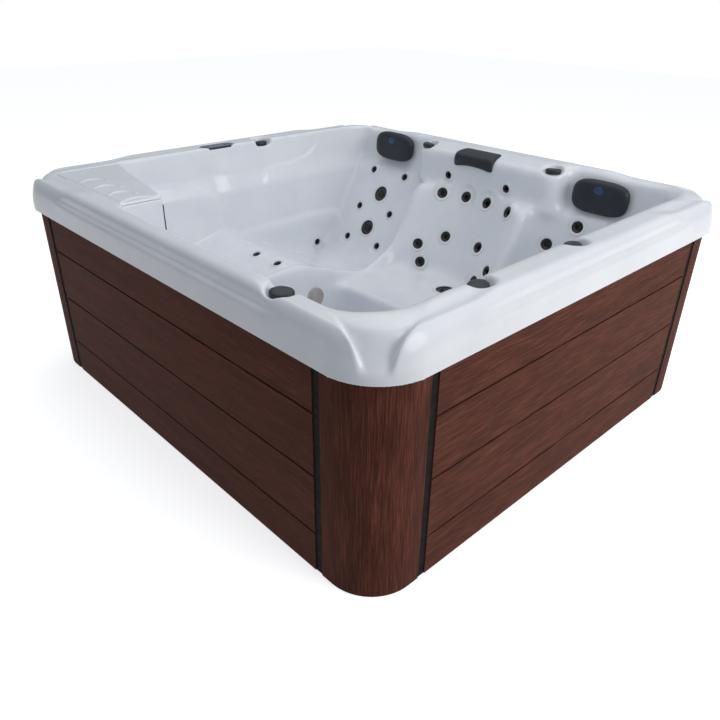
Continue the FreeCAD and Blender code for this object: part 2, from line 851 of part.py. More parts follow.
def edge_strips():
    """Dark strips between plank ends and corner posts, set back a little."""
    near, far = "strip_reach", "(strip_reach - strip_width)"
    z = ("skirt_lift", SKIRT_TOP)
    strips = []
    for sign_x in (-1, 1):
        for sign_y in (-1, 1):
            x = sorted((f"{sign_x} * ({SKIRT_X} - {near})", f"{sign_x} * ({SKIRT_X} - {far})"), key=value)
            y = sorted((f"{sign_y} * {FRAME_Y}", f"{sign_y} * ({SKIRT_Y} - strip_recess)"), key=value)
            strips.append(box(f"Strip{len(strips)}", x, y, z))
            x = sorted((f"{sign_x} * {FRAME_X}", f"{sign_x} * ({SKIRT_X} - strip_recess)"), key=value)
            y = sorted((f"{sign_y} * ({SKIRT_Y} - {near})", f"{sign_y} * ({SKIRT_Y} - {far})"), key=value)
            strips.append(box(f"Strip{len(strips)}", x, y, z))
    keep(group("EdgeStrips", strips), "edge_strips")


def lounger_profile(back, down):
    """Side line of the lounger; back and down shift it to its underside."""
    corners = ["head", "back", "seat", "thigh", "knee", "foot"]
    points = [(f"lounger_{c}_y + {back} * shell_wall", f"lounger_{c}_z - {down} * shell_wall")
              for c in corners]
    end = "lounger_end_y" if down == "0" else "lounger_end_y - shell_wall"
    return [(points[0][0], ABOVE), *points, (end, points[-1][1]), (end, ABOVE)]


def armrest_profile(back, down):
    corners = ["back", "dip", "low", "knee", "crest"]
    points = [(f"armrest_{c}_y + {back} * shell_wall", f"armrest_{c}_z - {down} * shell_wall")
              for c in corners]
    head = f"armrest_head_y + {back} * shell_wall"
    end = "armrest_end_y" if down == "0" else "armrest_end_y - shell_wall"
    return [(head, ABOVE), *points, (end, points[-1][1]), (end, ABOVE)]


def ridge_profile(back, down):
    """Low ridge between middle and corner seat, from its foot up to the back."""
    low = f"ridge_low_z - {down} * shell_wall"
    top = f"ridge_back_y + {back} * shell_wall"
    front = "seat_front_y" if down == "0" else "seat_front_y - shell_wall"
    return [(top, ABOVE), (top, "bowl_floor"), (f"ridge_low_y + {back} * shell_wall", low), (front, low),
            (front, ABOVE)]


def hollow_seat(name, left, right, low, high, sag, grow):
    """A seat whose hollow back slopes away upwards."""
    body = new_body(name)
    floor = f"(seat_floor - {grow})"
    sketch = new_sketch(body, "XY_Plane", floor)
    hollow_outline(sketch, f"{left} - {grow}", f"{right} + {grow}", f"seat_front_y - {grow}",
                   f"{low} + {grow}", sag)
    item = pad(body, sketch, f"sqrt(({high} - {low})^2 + (seat_head - seat_floor)^2)")
    item.UseCustomVector = True
    item.AlongSketchNormal = False
    item.Direction = Vector(0, value(f"{high} - {low}"), value("seat_head - seat_floor"))
    return body


def filter_front(x):
    """The slanting front of the skimmer block at a given x, as a y."""
    fall = "(filter_front_right - filter_front_left) / (filter_left - filter_right)"
    return f"(-filter_front_left - ({x} + filter_left) * {fall})"


def filter_plan(left, right, inset, back):
    """Plan of the skimmer block or of what sits inside it, set in from the front and the end."""
    return [(left, f"{filter_front(left)} - {inset}"), (left, f"-{back}"), (right, f"-{back}"),
            (right, f"{filter_front(right)} - {inset}")]


def basin_volumes(suffix, grow, back, down):
    """The rooms of the basin; grown by the wall they give the shell's outside."""
    high = ABOVE if grow == "0" else "overall_height - deck_round"
    volumes = [
        rounded_block("Bowl" + suffix, f"-bowl_left - {grow}", f"bowl_right + {grow}",
                      f"-bowl_front - {grow}",
                      f"bowl_back + {grow}", f"bowl_radius + {grow}", f"bowl_floor - {grow}",
                      "overall_height",
                      "bowl_lean"),
        prism_along_x("Lounger" + suffix, lounger_profile(back, down),
                      f"-lounger_left - {grow}", f"-lounger_right + {grow}"),
        prism_along_x("Armrest" + suffix, armrest_profile(back, down), "-armrest_left", "-armrest_right"),
        prism_along_x("Ridge" + suffix, ridge_profile(back, down), "middle_right - cut_overrun",
                      "corner_left + cut_overrun"),
        hollow_seat("MiddleSeat" + suffix, "-middle_left", "middle_right", "middle_back_low",
                    "middle_back_high", "middle_sag", grow),
        hollow_seat("CornerSeat" + suffix, "corner_left", "corner_right", "corner_back_low",
                    "corner_back_high", "corner_sag", grow),
        rounded_block("SideBench" + suffix, f"side_bench_left - {grow}", f"side_bench_right + {grow}",
                      f"-bench_front - {grow}", f"side_bench_back + {grow}", f"bench_radius + {grow}",
                      f"bench_floor - {grow}", high),
        rounded_block("FrontBench" + suffix, f"-front_bench_left - {grow}", f"front_bench_right + {grow}",
                      f"-bench_front - {grow}", f"-front_bench_back + {grow}", f"bench_radius + {grow}",
                      f"bench_floor - {grow}", high),
        rounded_block("Footwell" + suffix, f"-footwell_left - {grow}", f"footwell_right + {grow}",
                      f"-footwell_front - {grow}", f"footwell_back + {grow}", f"footwell_radius + {grow}",
                      f"footwell_floor - {grow}", high),
    ]
    return volumes


def lip_block(name, inset, high, roundness):
    """A rounded block of the lip's plan, set in from its edge, with a rolled upper edge."""
    body = rounded_block(name, f"{inset} - {HALF_X}", f"{HALF_X} - {inset}", f"{inset} - {HALF_Y}",
                         f"{HALF_Y} - {inset}", f"lip_radius - {inset}", LIP_BOTTOM, high)
    round_edges(body, body.Tip, roundness, flat_at(high))
    return body


def corner_wedges(name, width, drop, overlap):
    """Four wedges across the lip's corners, from the edge up to the deck; drop is their depth at the edge."""
    inner = f"lip_radius - valley_reach - {overlap}"
    outline = [(inner, f"overall_height - {overlap}"), ("lip_radius", f"overall_height - {drop}"),
               ("lip_radius + cut_overrun", f"overall_height - {drop}"), ("lip_radius + cut_overrun", ABOVE),
               (inner, ABOVE)]
    diagonal = 45
    quarter = 90
    wedges = []
    for index, (sign_x, sign_y) in enumerate((("", ""), ("-", ""), ("-", "-"), ("", "-"))):
        body = new_body(f"{name}{index}")
        sketch = new_sketch(body, "XZ_Plane", f"-({width}) / 2")
        polygon_outline(sketch, outline)
        pad(body, sketch, width)
        turn = FreeCAD.Rotation(Vector(0, 0, 1), diagonal + quarter * index)
        wedges.append(place(body, f"{sign_x}({HALF_X} - lip_radius)", f"{sign_y}({HALF_Y} - lip_radius)",
                            "0", turn))
    return wedges


def shoulder_blocks(name, grow, low):
    """Two blocks at each corner, along the edges that meet there, from low to above the deck."""
    length = f"(shoulder_length + {grow})"
    width = f"(shoulder_width + {grow})"
    z = (low, ABOVE)
    blocks = []
    for sign_x in (-1, 1):
        for sign_y in (-1, 1):
            for reach_x, reach_y in ((length, width), (width, length)):
                x = (f"{sign_x} * ({HALF_X} - {reach_x})", f"{sign_x} * ({HALF_X} + cut_overrun)")
                y = (f"{sign_y} * ({HALF_Y} - {reach_y})", f"{sign_y} * ({HALF_Y} + cut_overrun)")
                blocks.append(box(f"{name}{len(blocks)}", sorted(x, key=value), sorted(y, key=value), z))
    return blocks


def lip_tray():
    """The lip and deck: a tray turned upside down, with a low band round its edge and filled corners."""
    outside = fuse("LipOutside", [lip_block("Band", "0", BAND_TOP, "band_round"),
                                  lip_block("Deck", "band_width", "overall_height", "deck_round")])
    inside = fuse("LipInside", [
        lip_block("BandInside", "shell_wall", BAND_UNDERSIDE, "band_round - shell_wall"),
        lip_block("DeckInside", "(band_width + shell_wall)", DECK_UNDERSIDE, "deck_round - shell_wall")])
    fills = corner_wedges("CornerFill", "valley_width + 2 * shell_wall", "(valley_drop + 2 * shell_wall)",
                          "deck_thickness")
    fills += shoulder_blocks("ShoulderFill", "shell_wall", BAND_UNDERSIDE)
    corners = common("LipCorners", outside, fuse("CornerFills", fills))
    return fuse("LipTray", [cut("LipShell", outside, inside), corners])


def corner_cuts():
    """At each corner, a valley down to the lip's edge between two low shoulders."""
    return [*corner_wedges("Valley", "valley_width", "valley_drop", "0"),
            *shoulder_blocks("Shoulder", "0", BAND_TOP)]


# Each knob: its place along and across the deck
KNOBS = {
    "front_knob": ("front_knob_x", "-bowl_front - knob_setback"),
    "right_front_knob": ("bowl_right + knob_setback", "-right_front_knob_y"),
    "right_back_knob": ("bowl_right + knob_setback", "-right_back_knob_y"),
    "far_right_knob": ("head_block_right - far_knob_setback", "head_block_face + far_knob_setback"),
    "far_left_knob": ("-head_block_left + far_knob_setback", "head_block_face + far_knob_setback"),
    "left_knob": ("-bowl_left - knob_setback", "left_knob_y"),
}
POCKET_FLOOR = "(overall_height - pocket_depth)"


def facing(point, normal):
    """A place whose own Z points along the normal."""
    return FreeCAD.Placement(point, FreeCAD.Rotation(Vector(0, 0, 1), normal))


def lounger_back_spot(across_share, up_share):
    """A place on the lounger's back: across its jets' span, and up its slope."""
    x = value("lounger_jet_centre") + across_share * value("lounger_jet_half_span")
    rise_y = value("lounger_head_y - lounger_back_y")
    rise_z = value("lounger_head_z - lounger_back_z")
    y = value("lounger_back_y") + up_share * rise_y
    z = value("lounger_back_z") + up_share * rise_z
    return facing(Vector(x, y, z), Vector(0, -rise_z, rise_y))


def calf_spot(x_share, along_share):
    """A place on the lounger's leg rest, between knee and foot."""
    x = value("-lounger_left") + x_share * value("lounger_left - lounger_right")
    run_y = value("lounger_foot_y - lounger_knee_y")
    run_z = value("lounger_foot_z - lounger_knee_z")
    y = value("lounger_knee_y") + along_share * run_y
    z = value("lounger_knee_z") + along_share * run_z
    return facing(Vector(x, y, z), Vector(0, run_z, -run_y))


def seat_back_spot(left, right, low, high, sag, across_share, up_share):
    """A place on a hollow seat back, square to its surface."""
    half = value(f"({right} - ({left})) / 2")
    depth = value(sag)
    radius = (half**2 + depth**2) / (2 * depth)
    aside = across_share * half
    fall = radius - math.sqrt(radius**2 - aside**2)
    climb = value("seat_head - seat_floor")
    lean = value(f"{high} - {low}") / climb
    z = value("seat_floor") + up_share * climb
    y = value(low) + lean * up_share * climb - fall
    slope = aside / math.sqrt(radius**2 - aside**2)
    return facing(Vector(value(f"({left} + {right}) / 2") + aside, y, z), Vector(-slope, -1, lean))


def middle_spot(across_share, up_share):
    return seat_back_spot("-middle_left", "middle_right", "middle_back_low", "middle_back_high", "middle_sag",
                          across_share, up_share)


def corner_spot(across_share, up_share):
    return seat_back_spot("corner_left", "corner_right", "corner_back_low", "corner_back_high", "corner_sag",
                          across_share, up_share)


def bench_spot(along_share, up_share):
    """A place on the side bench's wall."""
    y = -along_share * value("bench_front")
    z = value("bench_floor") + up_share * value("bowl_floor - bench_floor")
    return facing(Vector(value("side_bench_right"), y, z), Vector(-1, 0, 0))


LOUNGER_PAIR_SHARES = (0.9, 0.458, 0.08)
LOUNGER_LARGE_SHARES = (0.653, 0.244)
MIDDLE_JET_SHARES = ((-0.607, 0.905), (-0.18, 0.905), (0.25, 0.9), (0.77, 0.9), (-0.285, 0.435),
                     (0.413, 0.435),
                     (-0.7, 0.3), (0.81, 0.27), (-0.56, 0.1), (0.6, 0.1))
CORNER_JET_SHARES = ((-0.29, 0.84), (-0.7, 0.6), (0.29, 0.84), (0.7, 0.6))
BENCH_JET_SHARES = ((0.61, 0.45), (0.36, 0.45), (0.61, 0.78), (0.36, 0.78))
CALF_JET_SHARES = ((0.61, 0.1), (0.9, 0.1))
HIP_JET_Z_SHARE = 0.18
NECK_JET_SHARES = (-0.636, 0.538)
NECK_JET_Z_SHARE = 0.274


def small_jet_places():
    places = [lounger_back_spot(side, up) for up in LOUNGER_PAIR_SHARES for side in (-1, 1)]
    places += [calf_spot(x_share, along_share) for x_share, along_share in CALF_JET_SHARES]
    hip_y = value("lounger_seat_y - small_ring_radius")
    hip_z = value("lounger_seat_z + small_ring_radius") + HIP_JET_Z_SHARE * value("small_ring_radius")
    places.append(facing(Vector(value("-lounger_left"), hip_y, hip_z), Vector(1, 0, 0)))
    neck_y = value("head_block_face")
    neck_z = value("bowl_floor") + NECK_JET_Z_SHARE * value("overall_height - bowl_floor")
    for share in NECK_JET_SHARES:
        places.append(facing(Vector(share * value("middle_right"), neck_y, neck_z), Vector(0, -1, 0)))
    return places


def medium_jet_places():
    places = [middle_spot(*shares) for shares in MIDDLE_JET_SHARES]
    places += [corner_spot(*shares) for shares in CORNER_JET_SHARES]
    places += [bench_spot(*shares) for shares in BENCH_JET_SHARES]
    return places


SEAT_JET_X_SHARE = 0.33
SEAT_JET_Y_SHARE = 0.73


def large_jet_places():
    """Two turning jets in the lounger's back and one in the middle seat's floor."""
    places = {f"lounger_jet_{name}": lounger_back_spot(0, up)
              for name, up in zip(("upper", "lower"), LOUNGER_LARGE_SHARES)}
    x = SEAT_JET_X_SHARE * value("middle_right")
    y = value("footwell_back") + SEAT_JET_Y_SHARE * value("middle_back_low - footwell_back")
    places["seat_jet"] = facing(Vector(x, y, value("seat_floor")), Vector(0, 0, 1))
    return places


# Along-wall places of the lenses: two on the left wall (y), two on the back wall (x)
LEFT_LENS_SHARES = (-0.025, 0.404)
BACK_LENS_SHARES = (-0.507, 0.4684)


def lens_places():
    lean = math.radians(value("bowl_lean"))
    drop = value("overall_height - lens_z") * math.tan(lean)
    z = value("lens_z")
    places = []
    for share in LEFT_LENS_SHARES:
        y = share * value("bowl_back")
        places.append(facing(Vector(drop - value("bowl_left"), y, z),
                             Vector(math.cos(lean), 0, math.sin(lean))))
    for share in BACK_LENS_SHARES:
        x = share * value("bowl_left")
        places.append(facing(Vector(x, value("bowl_back") - drop, z),
                             Vector(0, -math.cos(lean), math.sin(lean))))
    return places


def jet_tool(name, ring, nozzle, depth):
    """What a jet takes out of the wall: a flat seat for the ring, a hole for the body and room behind."""
    hole = f"{nozzle} + jet_body_wall + 2 * running_fit"
    room = f"{ring} + running_fit"
    behind = "running_fit - jet_nut_clearance"
    end = f"-{depth} - running_fit"
    return turned(name, [("0", end), (room, end), (room, behind), (hole, behind), (hole, "-jet_seat"),
                         (room, "-jet_seat"), (room, "jet_nut_clearance"), ("0", "jet_nut_clearance")])


def jets():
    """Rings, nozzles and bodies of the small and medium jets; returns what they cut from the shell."""
    kinds = {
        "small": ("small_ring_radius", "small_nozzle_radius", small_jet_places()),
        "medium": ("medium_ring_radius", "medium_nozzle_radius", medium_jet_places()),
    }
    rings, nozzles, bodies, tools = [], [], [], []
    for kind, (ring, nozzle, places) in kinds.items():
        name = kind.title()
        bore = f"{nozzle} + running_fit"
        outer = f"{nozzle} + jet_body_wall + running_fit"
        nut = "-jet_nut_clearance - jet_nut_depth"
        floor = "jet_body_wall - jet_body_depth"
        ring_master = turned(name + "Ring", [
            (bore, "-jet_seat"), (ring, "-jet_seat"), (ring, "0"),
            (f"{ring} - jet_seat", "jet_ring_height - jet_seat"),
            (bore, "jet_ring_height - jet_seat")])
        nozzle_master = turned(name + "Nozzle", [
            ("0", "-jet_nozzle_depth"), (nozzle, "-jet_nozzle_depth"), (nozzle, "0"),
            (f"{nozzle} - jet_seat", "0"), ("jet_throat", "-jet_throat"), ("0", "-jet_throat")])
        body_master = turned(name + "Body", [
            ("0", "-jet_body_depth"), (outer, "-jet_body_depth"), (outer, nut),
            (f"{ring} - jet_seat", nut), (f"{ring} - jet_seat", "-jet_nut_clearance"),
            (outer, "-jet_nut_clearance"), (outer, "-jet_seat"), (bore, "-jet_seat"), (bore, floor),
            ("0", floor)])
        rings.append(copies(name + "Rings", ring_master, places))
        nozzles.append(copies(name + "Nozzles", nozzle_master, places))
        bodies.append(copies(name + "Bodies", body_master, places))
        tools.append(copies(name + "Seats", jet_tool(name + "Tool", ring, nozzle, "jet_body_depth"), places))
    keep(group("JetRings", rings), "jet_rings")
    keep(group("JetNozzles", nozzles), "jet_nozzles")
    keep(group("JetBodies", bodies), "jet_bodies")
    return tools


def large_jets():
    """Housings with a spindle, and the nozzles that turn on them; returns what they cut from the shell."""
    sizes = {
        "lounger_jet_upper": ("large_ring_radius", "large_nozzle_radius"),
        "lounger_jet_lower": ("large_ring_radius", "large_nozzle_radius"),
        "seat_jet": ("seat_ring_radius", "seat_nozzle_radius"),
    }
    housings, tools = [], []
    for label, spot in large_jet_places().items():
        ring, nozzle = sizes[label]
        name = label.title().replace("_", "")
        bore = f"{nozzle} + running_fit"
        outer = f"{nozzle} + jet_body_wall + running_fit"
        floor = "jet_body_wall - large_body_depth"
        nut = "-jet_nut_clearance - jet_nut_depth"
        housing = turned(name + "Housing", [
            ("0", "-large_body_depth"), (outer, "-large_body_depth"), (outer, nut), (ring, nut),
            (ring, "-jet_nut_clearance"), (outer, "-jet_nut_clearance"), (outer, "-jet_seat"),
            (ring, "-jet_seat"),
            (ring, "0"), (f"{ring} - jet_seat", "jet_ring_height - jet_seat"),
            (bore, "jet_ring_height - jet_seat"),
            (bore, floor), ("spindle_radius", floor), ("spindle_radius", "-jet_ring_height"),
            ("0", "-jet_ring_height")])
        seat = f"{floor} + running_fit"
        hub = "spindle_radius + running_fit"
        rotor = turned(name + "Rotor", [
            (hub, seat), (nozzle, seat), (nozzle, "0"), (f"{nozzle} - jet_seat", "0"),
            (f"{nozzle} - jet_seat", "-jet_throat"), (hub, "-jet_throat")])
        holes = []
        for side in (-1, 1):
            holes.append(rod(f"{name}Throat{len(holes)}", "jet_throat", "large_body_depth + jet_ring_height",
                             f"{side} * {nozzle} / 2", "0", "-large_body_depth"))
        drilled = cut(name + "Nozzle", rotor, group(name + "Throats", holes))
        drilled.Placement = spot
        keep(drilled, label + "_nozzle")
        housings.append(copies(name + "HousingSet", housing, [spot]))
        tools.append(copies(name + "Seat", jet_tool(name + "Tool", ring, nozzle, "large_body_depth"), [spot]))
    keep(group("LargeJetHousings", housings), "large_jet_housings")
    return tools


def knob(label, x, y):
    """A round base with an oval grip, and a stem that reaches down into its valve."""
    name = label.title().replace("_", "")
    base_low = f"{POCKET_FLOOR} + knob_lift"
    grip_high = f"{POCKET_FLOOR} + knob_height"
    base = rod(name + "Base", "knob_radius", "knob_base", x, y, base_low)
    grip = rounded_block(name + "Grip", "-knob_radius", "knob_radius", "-knob_grip_width / 2",
                         "knob_grip_width / 2", "knob_grip_width / 2 - running_fit", "0",
                         f"{grip_high} - ({base_low})")
    round_edges(grip, grip.Tip, "knob_grip_round", flat_at(f"{grip_high} - ({base_low})"))
    place(grip, x, y, base_low)
    stem = rod(name + "Stem", "stem_radius", "stem_length + knob_lift", x, y, f"{POCKET_FLOOR} - stem_length")
    inside = rod(name + "Disc", "knob_radius", "knob_height", x, y, base_low)
    keep(fuse(name, [base, common(name + "RoundGrip", grip, inside), stem]), label)


def knobs():
    """Knobs and the valve bodies hung below their pockets; returns cups and cuts for the shell."""
    valves, cups, tools = [], [], []
    for label, (x, y) in KNOBS.items():
        name = label.title().replace("_", "")
        knob(label, x, y)
        top = f"({POCKET_FLOOR} - shell_wall)"
        shell_of_valve = rod(name + "ValveOutside", "valve_radius", "valve_length", x, y,
                             f"{top} - valve_length")
        bore = rod(name + "ValveBore", "stem_radius + running_fit", "stem_length + cut_overrun", x, y,
                   f"{POCKET_FLOOR} - stem_length - running_fit")
        valves.append(cut(name + "Valve", shell_of_valve, bore))
        cups.append(rod(name + "Cup", "pocket_radius + cup_wall",
                        "pocket_depth - deck_round / 4 + shell_wall",
                        x, y, top))
        tools.append(rod(name + "Pocket", "pocket_radius", "pocket_depth + cut_overrun", x, y, POCKET_FLOOR))
        tools.append(rod(name + "StemHole", "stem_radius + running_fit", "shell_wall + 2 * cut_overrun", x, y,
                         f"{top} - cut_overrun"))
        tools.append(rod(name + "ValveRoom", "valve_radius + 2 * running_fit", "valve_length + cut_overrun",
                         x, y,
                         f"{top} - valve_length - cut_overrun"))
    keep(group("ValveBodies", valves), "valve_bodies")
    return cups, tools


PANEL_X = "(-bowl_left - panel_setback)"
PANEL_TOP = "(overall_height - panel_drop)"
BUTTON_SHARES = {"jets_button": -0.41, "light_button": -0.29, "warmer_button": 0.29, "cooler_button": 0.41}


def control_panel():
    """Oval panel set in the deck, with a window and four keys; returns cup and cut for the shell."""
    def oval(name, gap, low, high):
        half_width = f"(panel_width / 2 + {gap})"
        half_length = f"(panel_length / 2 + {gap})"
        return rounded_block(name, f"{PANEL_X} - {half_width}", f"{PANEL_X} + {half_width}",
                             f"panel_place_y - {half_length}", f"panel_place_y + {half_length}",
                             f"{half_width} - 2 * running_fit", low, high)

    low = f"({PANEL_TOP} - panel_depth)"
    casing = oval("PanelCasing", "0", low, PANEL_TOP)

    def window(name, gap):
        return rounded_block(name, f"{PANEL_X} - display_width / 2 - {gap}",
                             f"{PANEL_X} + display_width / 2 + {gap}",
                             f"panel_place_y - display_length / 2 - {gap}",
                             f"panel_place_y + display_length / 2 + {gap}", "button_radius",
                             f"{PANEL_TOP} - display_thickness", PANEL_TOP if gap == "0" else ABOVE)

    keep(window("DisplayWindow", "0"), "display_window")
    tools = [window("WindowRecess", "running_fit")]
    well_floor = f"{PANEL_TOP} + button_proud - button_height - button_travel"
    for label, share in BUTTON_SHARES.items():
        name = label.title().replace("_", "")
        y = f"panel_place_y + panel_length * {share}"
        keep(rod(name, "button_radius", "button_height", PANEL_X, y,
                 f"{PANEL_TOP} + button_proud - button_height"),
             label)
        tools.append(rod(name + "Well", "button_radius + running_fit", "button_height + cut_overrun",
                         PANEL_X, y,
                         well_floor))
    keep(cut("ControlPanel", casing, group("PanelCuts", tools)), "control_panel_body")
    cup = oval("PanelCup", "shell_wall", f"{low} - shell_wall", "overall_height - deck_round / 4")
    return cup, oval("PanelRecess", "running_fit", low, ABOVE)


PILLOW_BELLY_SHARE = 0.42


def wall_pillow(label, x, z):
    """A padded headrest on the back wall: drawn-in sides and a crowned front."""
    body = new_body(label.title().replace("_", ""))
    belly = f"pillow_depth * {PILLOW_BELLY_SHARE}"
    sections = (("pillow_draw", "0"), ("0", belly), ("pillow_crown", "pillow_depth"))
    sketches = []
    for inset, height in sections:
        sketch = new_sketch(body, "XY_Plane", height)
        rounded_outline(sketch, f"{inset} - pillow_width / 2", f"pillow_width / 2 - {inset}",
                        f"{inset} - pillow_height / 2", f"pillow_height / 2 - {inset}",
                        f"pillow_corner - {inset} / 2")
        sketches.append(sketch)
    loft = body.newObject("PartDesign::AdditiveLoft", body.Name + "Loft")
    loft.Profile = sketches[0]
    loft.Sections = sketches[1:]
    lean = math.radians(value("bowl_lean"))
    drop = value(f"overall_height - {z}") * math.tan(lean)
    outward = Vector(0, -math.cos(lean), math.sin(lean))
    turn = FreeCAD.Rotation(Vector(1, 0, 0), Vector(0, math.sin(lean), math.cos(lean)), outward, "ZXY")
    on_wall = Vector(value(x), value("bowl_back") - drop, value(z))
    seat = on_wall + outward * value("pillow_standoff")
    body.Placement = FreeCAD.Placement(seat, turn)
    keep(body, label)


def middle_pillow():
    """A headrest that wraps over the edge of the head block; returns the saddle cut for it."""
    left = "(middle_pillow_x - middle_pillow_width / 2)"
    right = "(middle_pillow_x + middle_pillow_width / 2)"
    front = "(head_block_face - middle_pillow_bulge)"
    inner = f"({front} + middle_pillow_thickness)"
    top = "(overall_height - middle_pillow_bulge / 4)"
    under = f"({top} - middle_pillow_thickness)"
    low = f"({top} - middle_pillow_drop)"
    back = f"({front} + middle_pillow_reach)"
    slope = "middle_pillow_round"
    outline = [(inner, low), (f"{front} + middle_pillow_bulge / 2", low),
               (front, f"{low} + middle_pillow_bulge"),
               (front, f"{top} - {slope}"), (f"{front} + {slope}", top), (back, top), (back, under),
               (f"{inner} + {slope} / 4", under), (inner, f"{under} - {slope} / 4")]
    body = prism_along_x("MiddlePillow", outline, left, right)

    def at_an_end(edge):
        bounds = edge.BoundBox
        return any(max(abs(bounds.XMin - value(x)), abs(bounds.XMax - value(x))) < SAME_PLACE
                   for x in (left, right))

    round_edges(body, body.Tip, "middle_pillow_bulge / 2", at_an_end)
    keep(body, "middle_pillow")
    gap = "pillow_standoff"
    saddle = [(f"{inner} + {gap}", f"{low} - {gap}"), (f"{front} - cut_overrun", f"{low} - {gap}"),
              (f"{front} - cut_overrun", ABOVE), (f"{back} + {gap}", ABOVE),
              (f"{back} + {gap}", f"{under} - {gap}"),
              (f"{inner} + {slope} / 4", f"{under} - {gap}"), (f"{inner} + {gap}", f"{under} - {slope} / 4")]
    return prism_along_x("PillowSaddle", saddle, f"{left} - {gap}", f"{right} + {gap}")


WATERFALL_X = "(bowl_right - waterfall_proud)"


def waterfall():
    """A flat spout through the right wall; returns its slot."""
    half = "waterfall_length / 2"
    z = ("waterfall_z - waterfall_height / 2", "waterfall_z + waterfall_height / 2")
    x = (WATERFALL_X, f"{WATERFALL_X} + waterfall_depth")
    outside = box("SpoutOutside", x, (f"waterfall_y - {half}", f"waterfall_y + {half}"), z)
    lip = "waterfall_lip"
    passage = box("SpoutPassage", (f"{WATERFALL_X} - cut_overrun", f"{x[1]} - {lip}"),
                  (f"waterfall_y - {half} + {lip}", f"waterfall_y + {half} - {lip}"),
                  (f"{z[0]} + {lip}", f"{z[1]} - {lip}"))
    keep(cut("WaterfallSpout", outside, passage), "waterfall_spout")
    fit = "running_fit"
    return box("SpoutSlot", (f"{WATERFALL_X} - cut_overrun", f"{x[1]} + {fit}"),
               (f"waterfall_y - {half} - {fit}", f"waterfall_y + {half} + {fit}"),
               (f"{z[0]} - {fit}", f"{z[1]} + {fit}"))


def floor_fittings():
    """Suction cover, floor drain and lenses; returns their holes."""
    neck = "-shell_wall - pipe_bend / 2"
    cover = turned("SuctionCover", [
        ("suction_neck - pipe_wall", neck), ("suction_neck", neck), ("suction_neck", "running_fit"),
        ("suction_radius", "running_fit"), ("suction_radius", "suction_height / 2"),
        ("suction_radius - suction_height / 2", "suction_height"), ("0", "suction_height"),
        ("0", "suction_height - pipe_wall"), ("suction_neck - pipe_wall", "suction_height - pipe_wall")])
    keep(place(cover, "-footwell_left", "suction_y", "suction_z", ALONG_X), "suction_cover")
    tail = "-shell_wall - drain_neck"
    drain = turned("FloorDrain", [
        ("drain_pipe_radius - pipe_wall", tail), ("drain_neck", tail), ("drain_neck", "0"),
        ("drain_radius", "0"),
        ("drain_radius", "drain_height / 2"), ("drain_radius - drain_height", "drain_height"),
        ("0", "drain_height"), ("0", "drain_height / 2"),
        ("drain_pipe_radius - pipe_wall", "drain_height / 2")])
    keep(place(drain, "drain_x", "drain_y", "footwell_floor"), "floor_drain_cover")
    lens = turned("Lens", [("0", "-lens_depth"), ("lens_radius", "-lens_depth"), ("lens_radius", "0"),
                           ("lens_radius / 2", "lens_radius / 4"), ("0", "lens_radius / 4")])
    keep(copies("LedLights", lens, lens_places()), "led_lights")
    socket = rod("LensSocket", "lens_radius + running_fit", "4 * lens_depth")
    below = FreeCAD.Placement(Vector(0, 0, value("-2 * lens_depth")), UPRIGHT)
    return [
        rod("SuctionHole", "suction_neck + running_fit", "shell_wall + 2 * cut_overrun",
            "-footwell_left - shell_wall - cut_overrun", "suction_y", "suction_z", ALONG_X),
        rod("DrainHole", "drain_neck + running_fit", "shell_wall + 2 * cut_overrun",
            "drain_x", "drain_y", "footwell_floor - shell_wall - cut_overrun"),
        copies("LensSockets", socket, [spot.multiply(below) for spot in lens_places()]),
    ]


# The weir's own frame: along the slanting front of the skimmer block
SLANT = math.atan2(value("filter_front_right - filter_front_left"), value("filter_left - filter_right"))
SLANT_TURN = FreeCAD.Rotation(Vector(0, 0, 1), math.degrees(-SLANT))


def slanted(item):
    """Turns a piece drawn from the block's right front edge into the slanting face."""
    corner = Vector(value("-filter_right"), value("-filter_front_right"), 0)
    item.Placement = FreeCAD.Placement(corner, SLANT_TURN).multiply(item.Placement)
    return item


def slanted_box(name, x, y, z):
    item = doc.addObject("Part::Box", name)
    for prop, (low, high) in zip(("Length", "Width", "Height"), (x, y, z)):
        item.setExpression(prop, linked(f"({high}) - ({low})"))
    item.Placement = FreeCAD.Placement(Vector(value(x[0]), value(y[0]), value(z[0])), UPRIGHT)
    return slanted(item)


def slanted_rod(name, radius, length, x, y, z):
    item = doc.addObject("Part::Cylinder", name)
    bind(item, Radius=radius, Height=length)
    item.Placement = FreeCAD.Placement(Vector(value(x), value(y), value(z)), ALONG_X)
    return slanted(item)


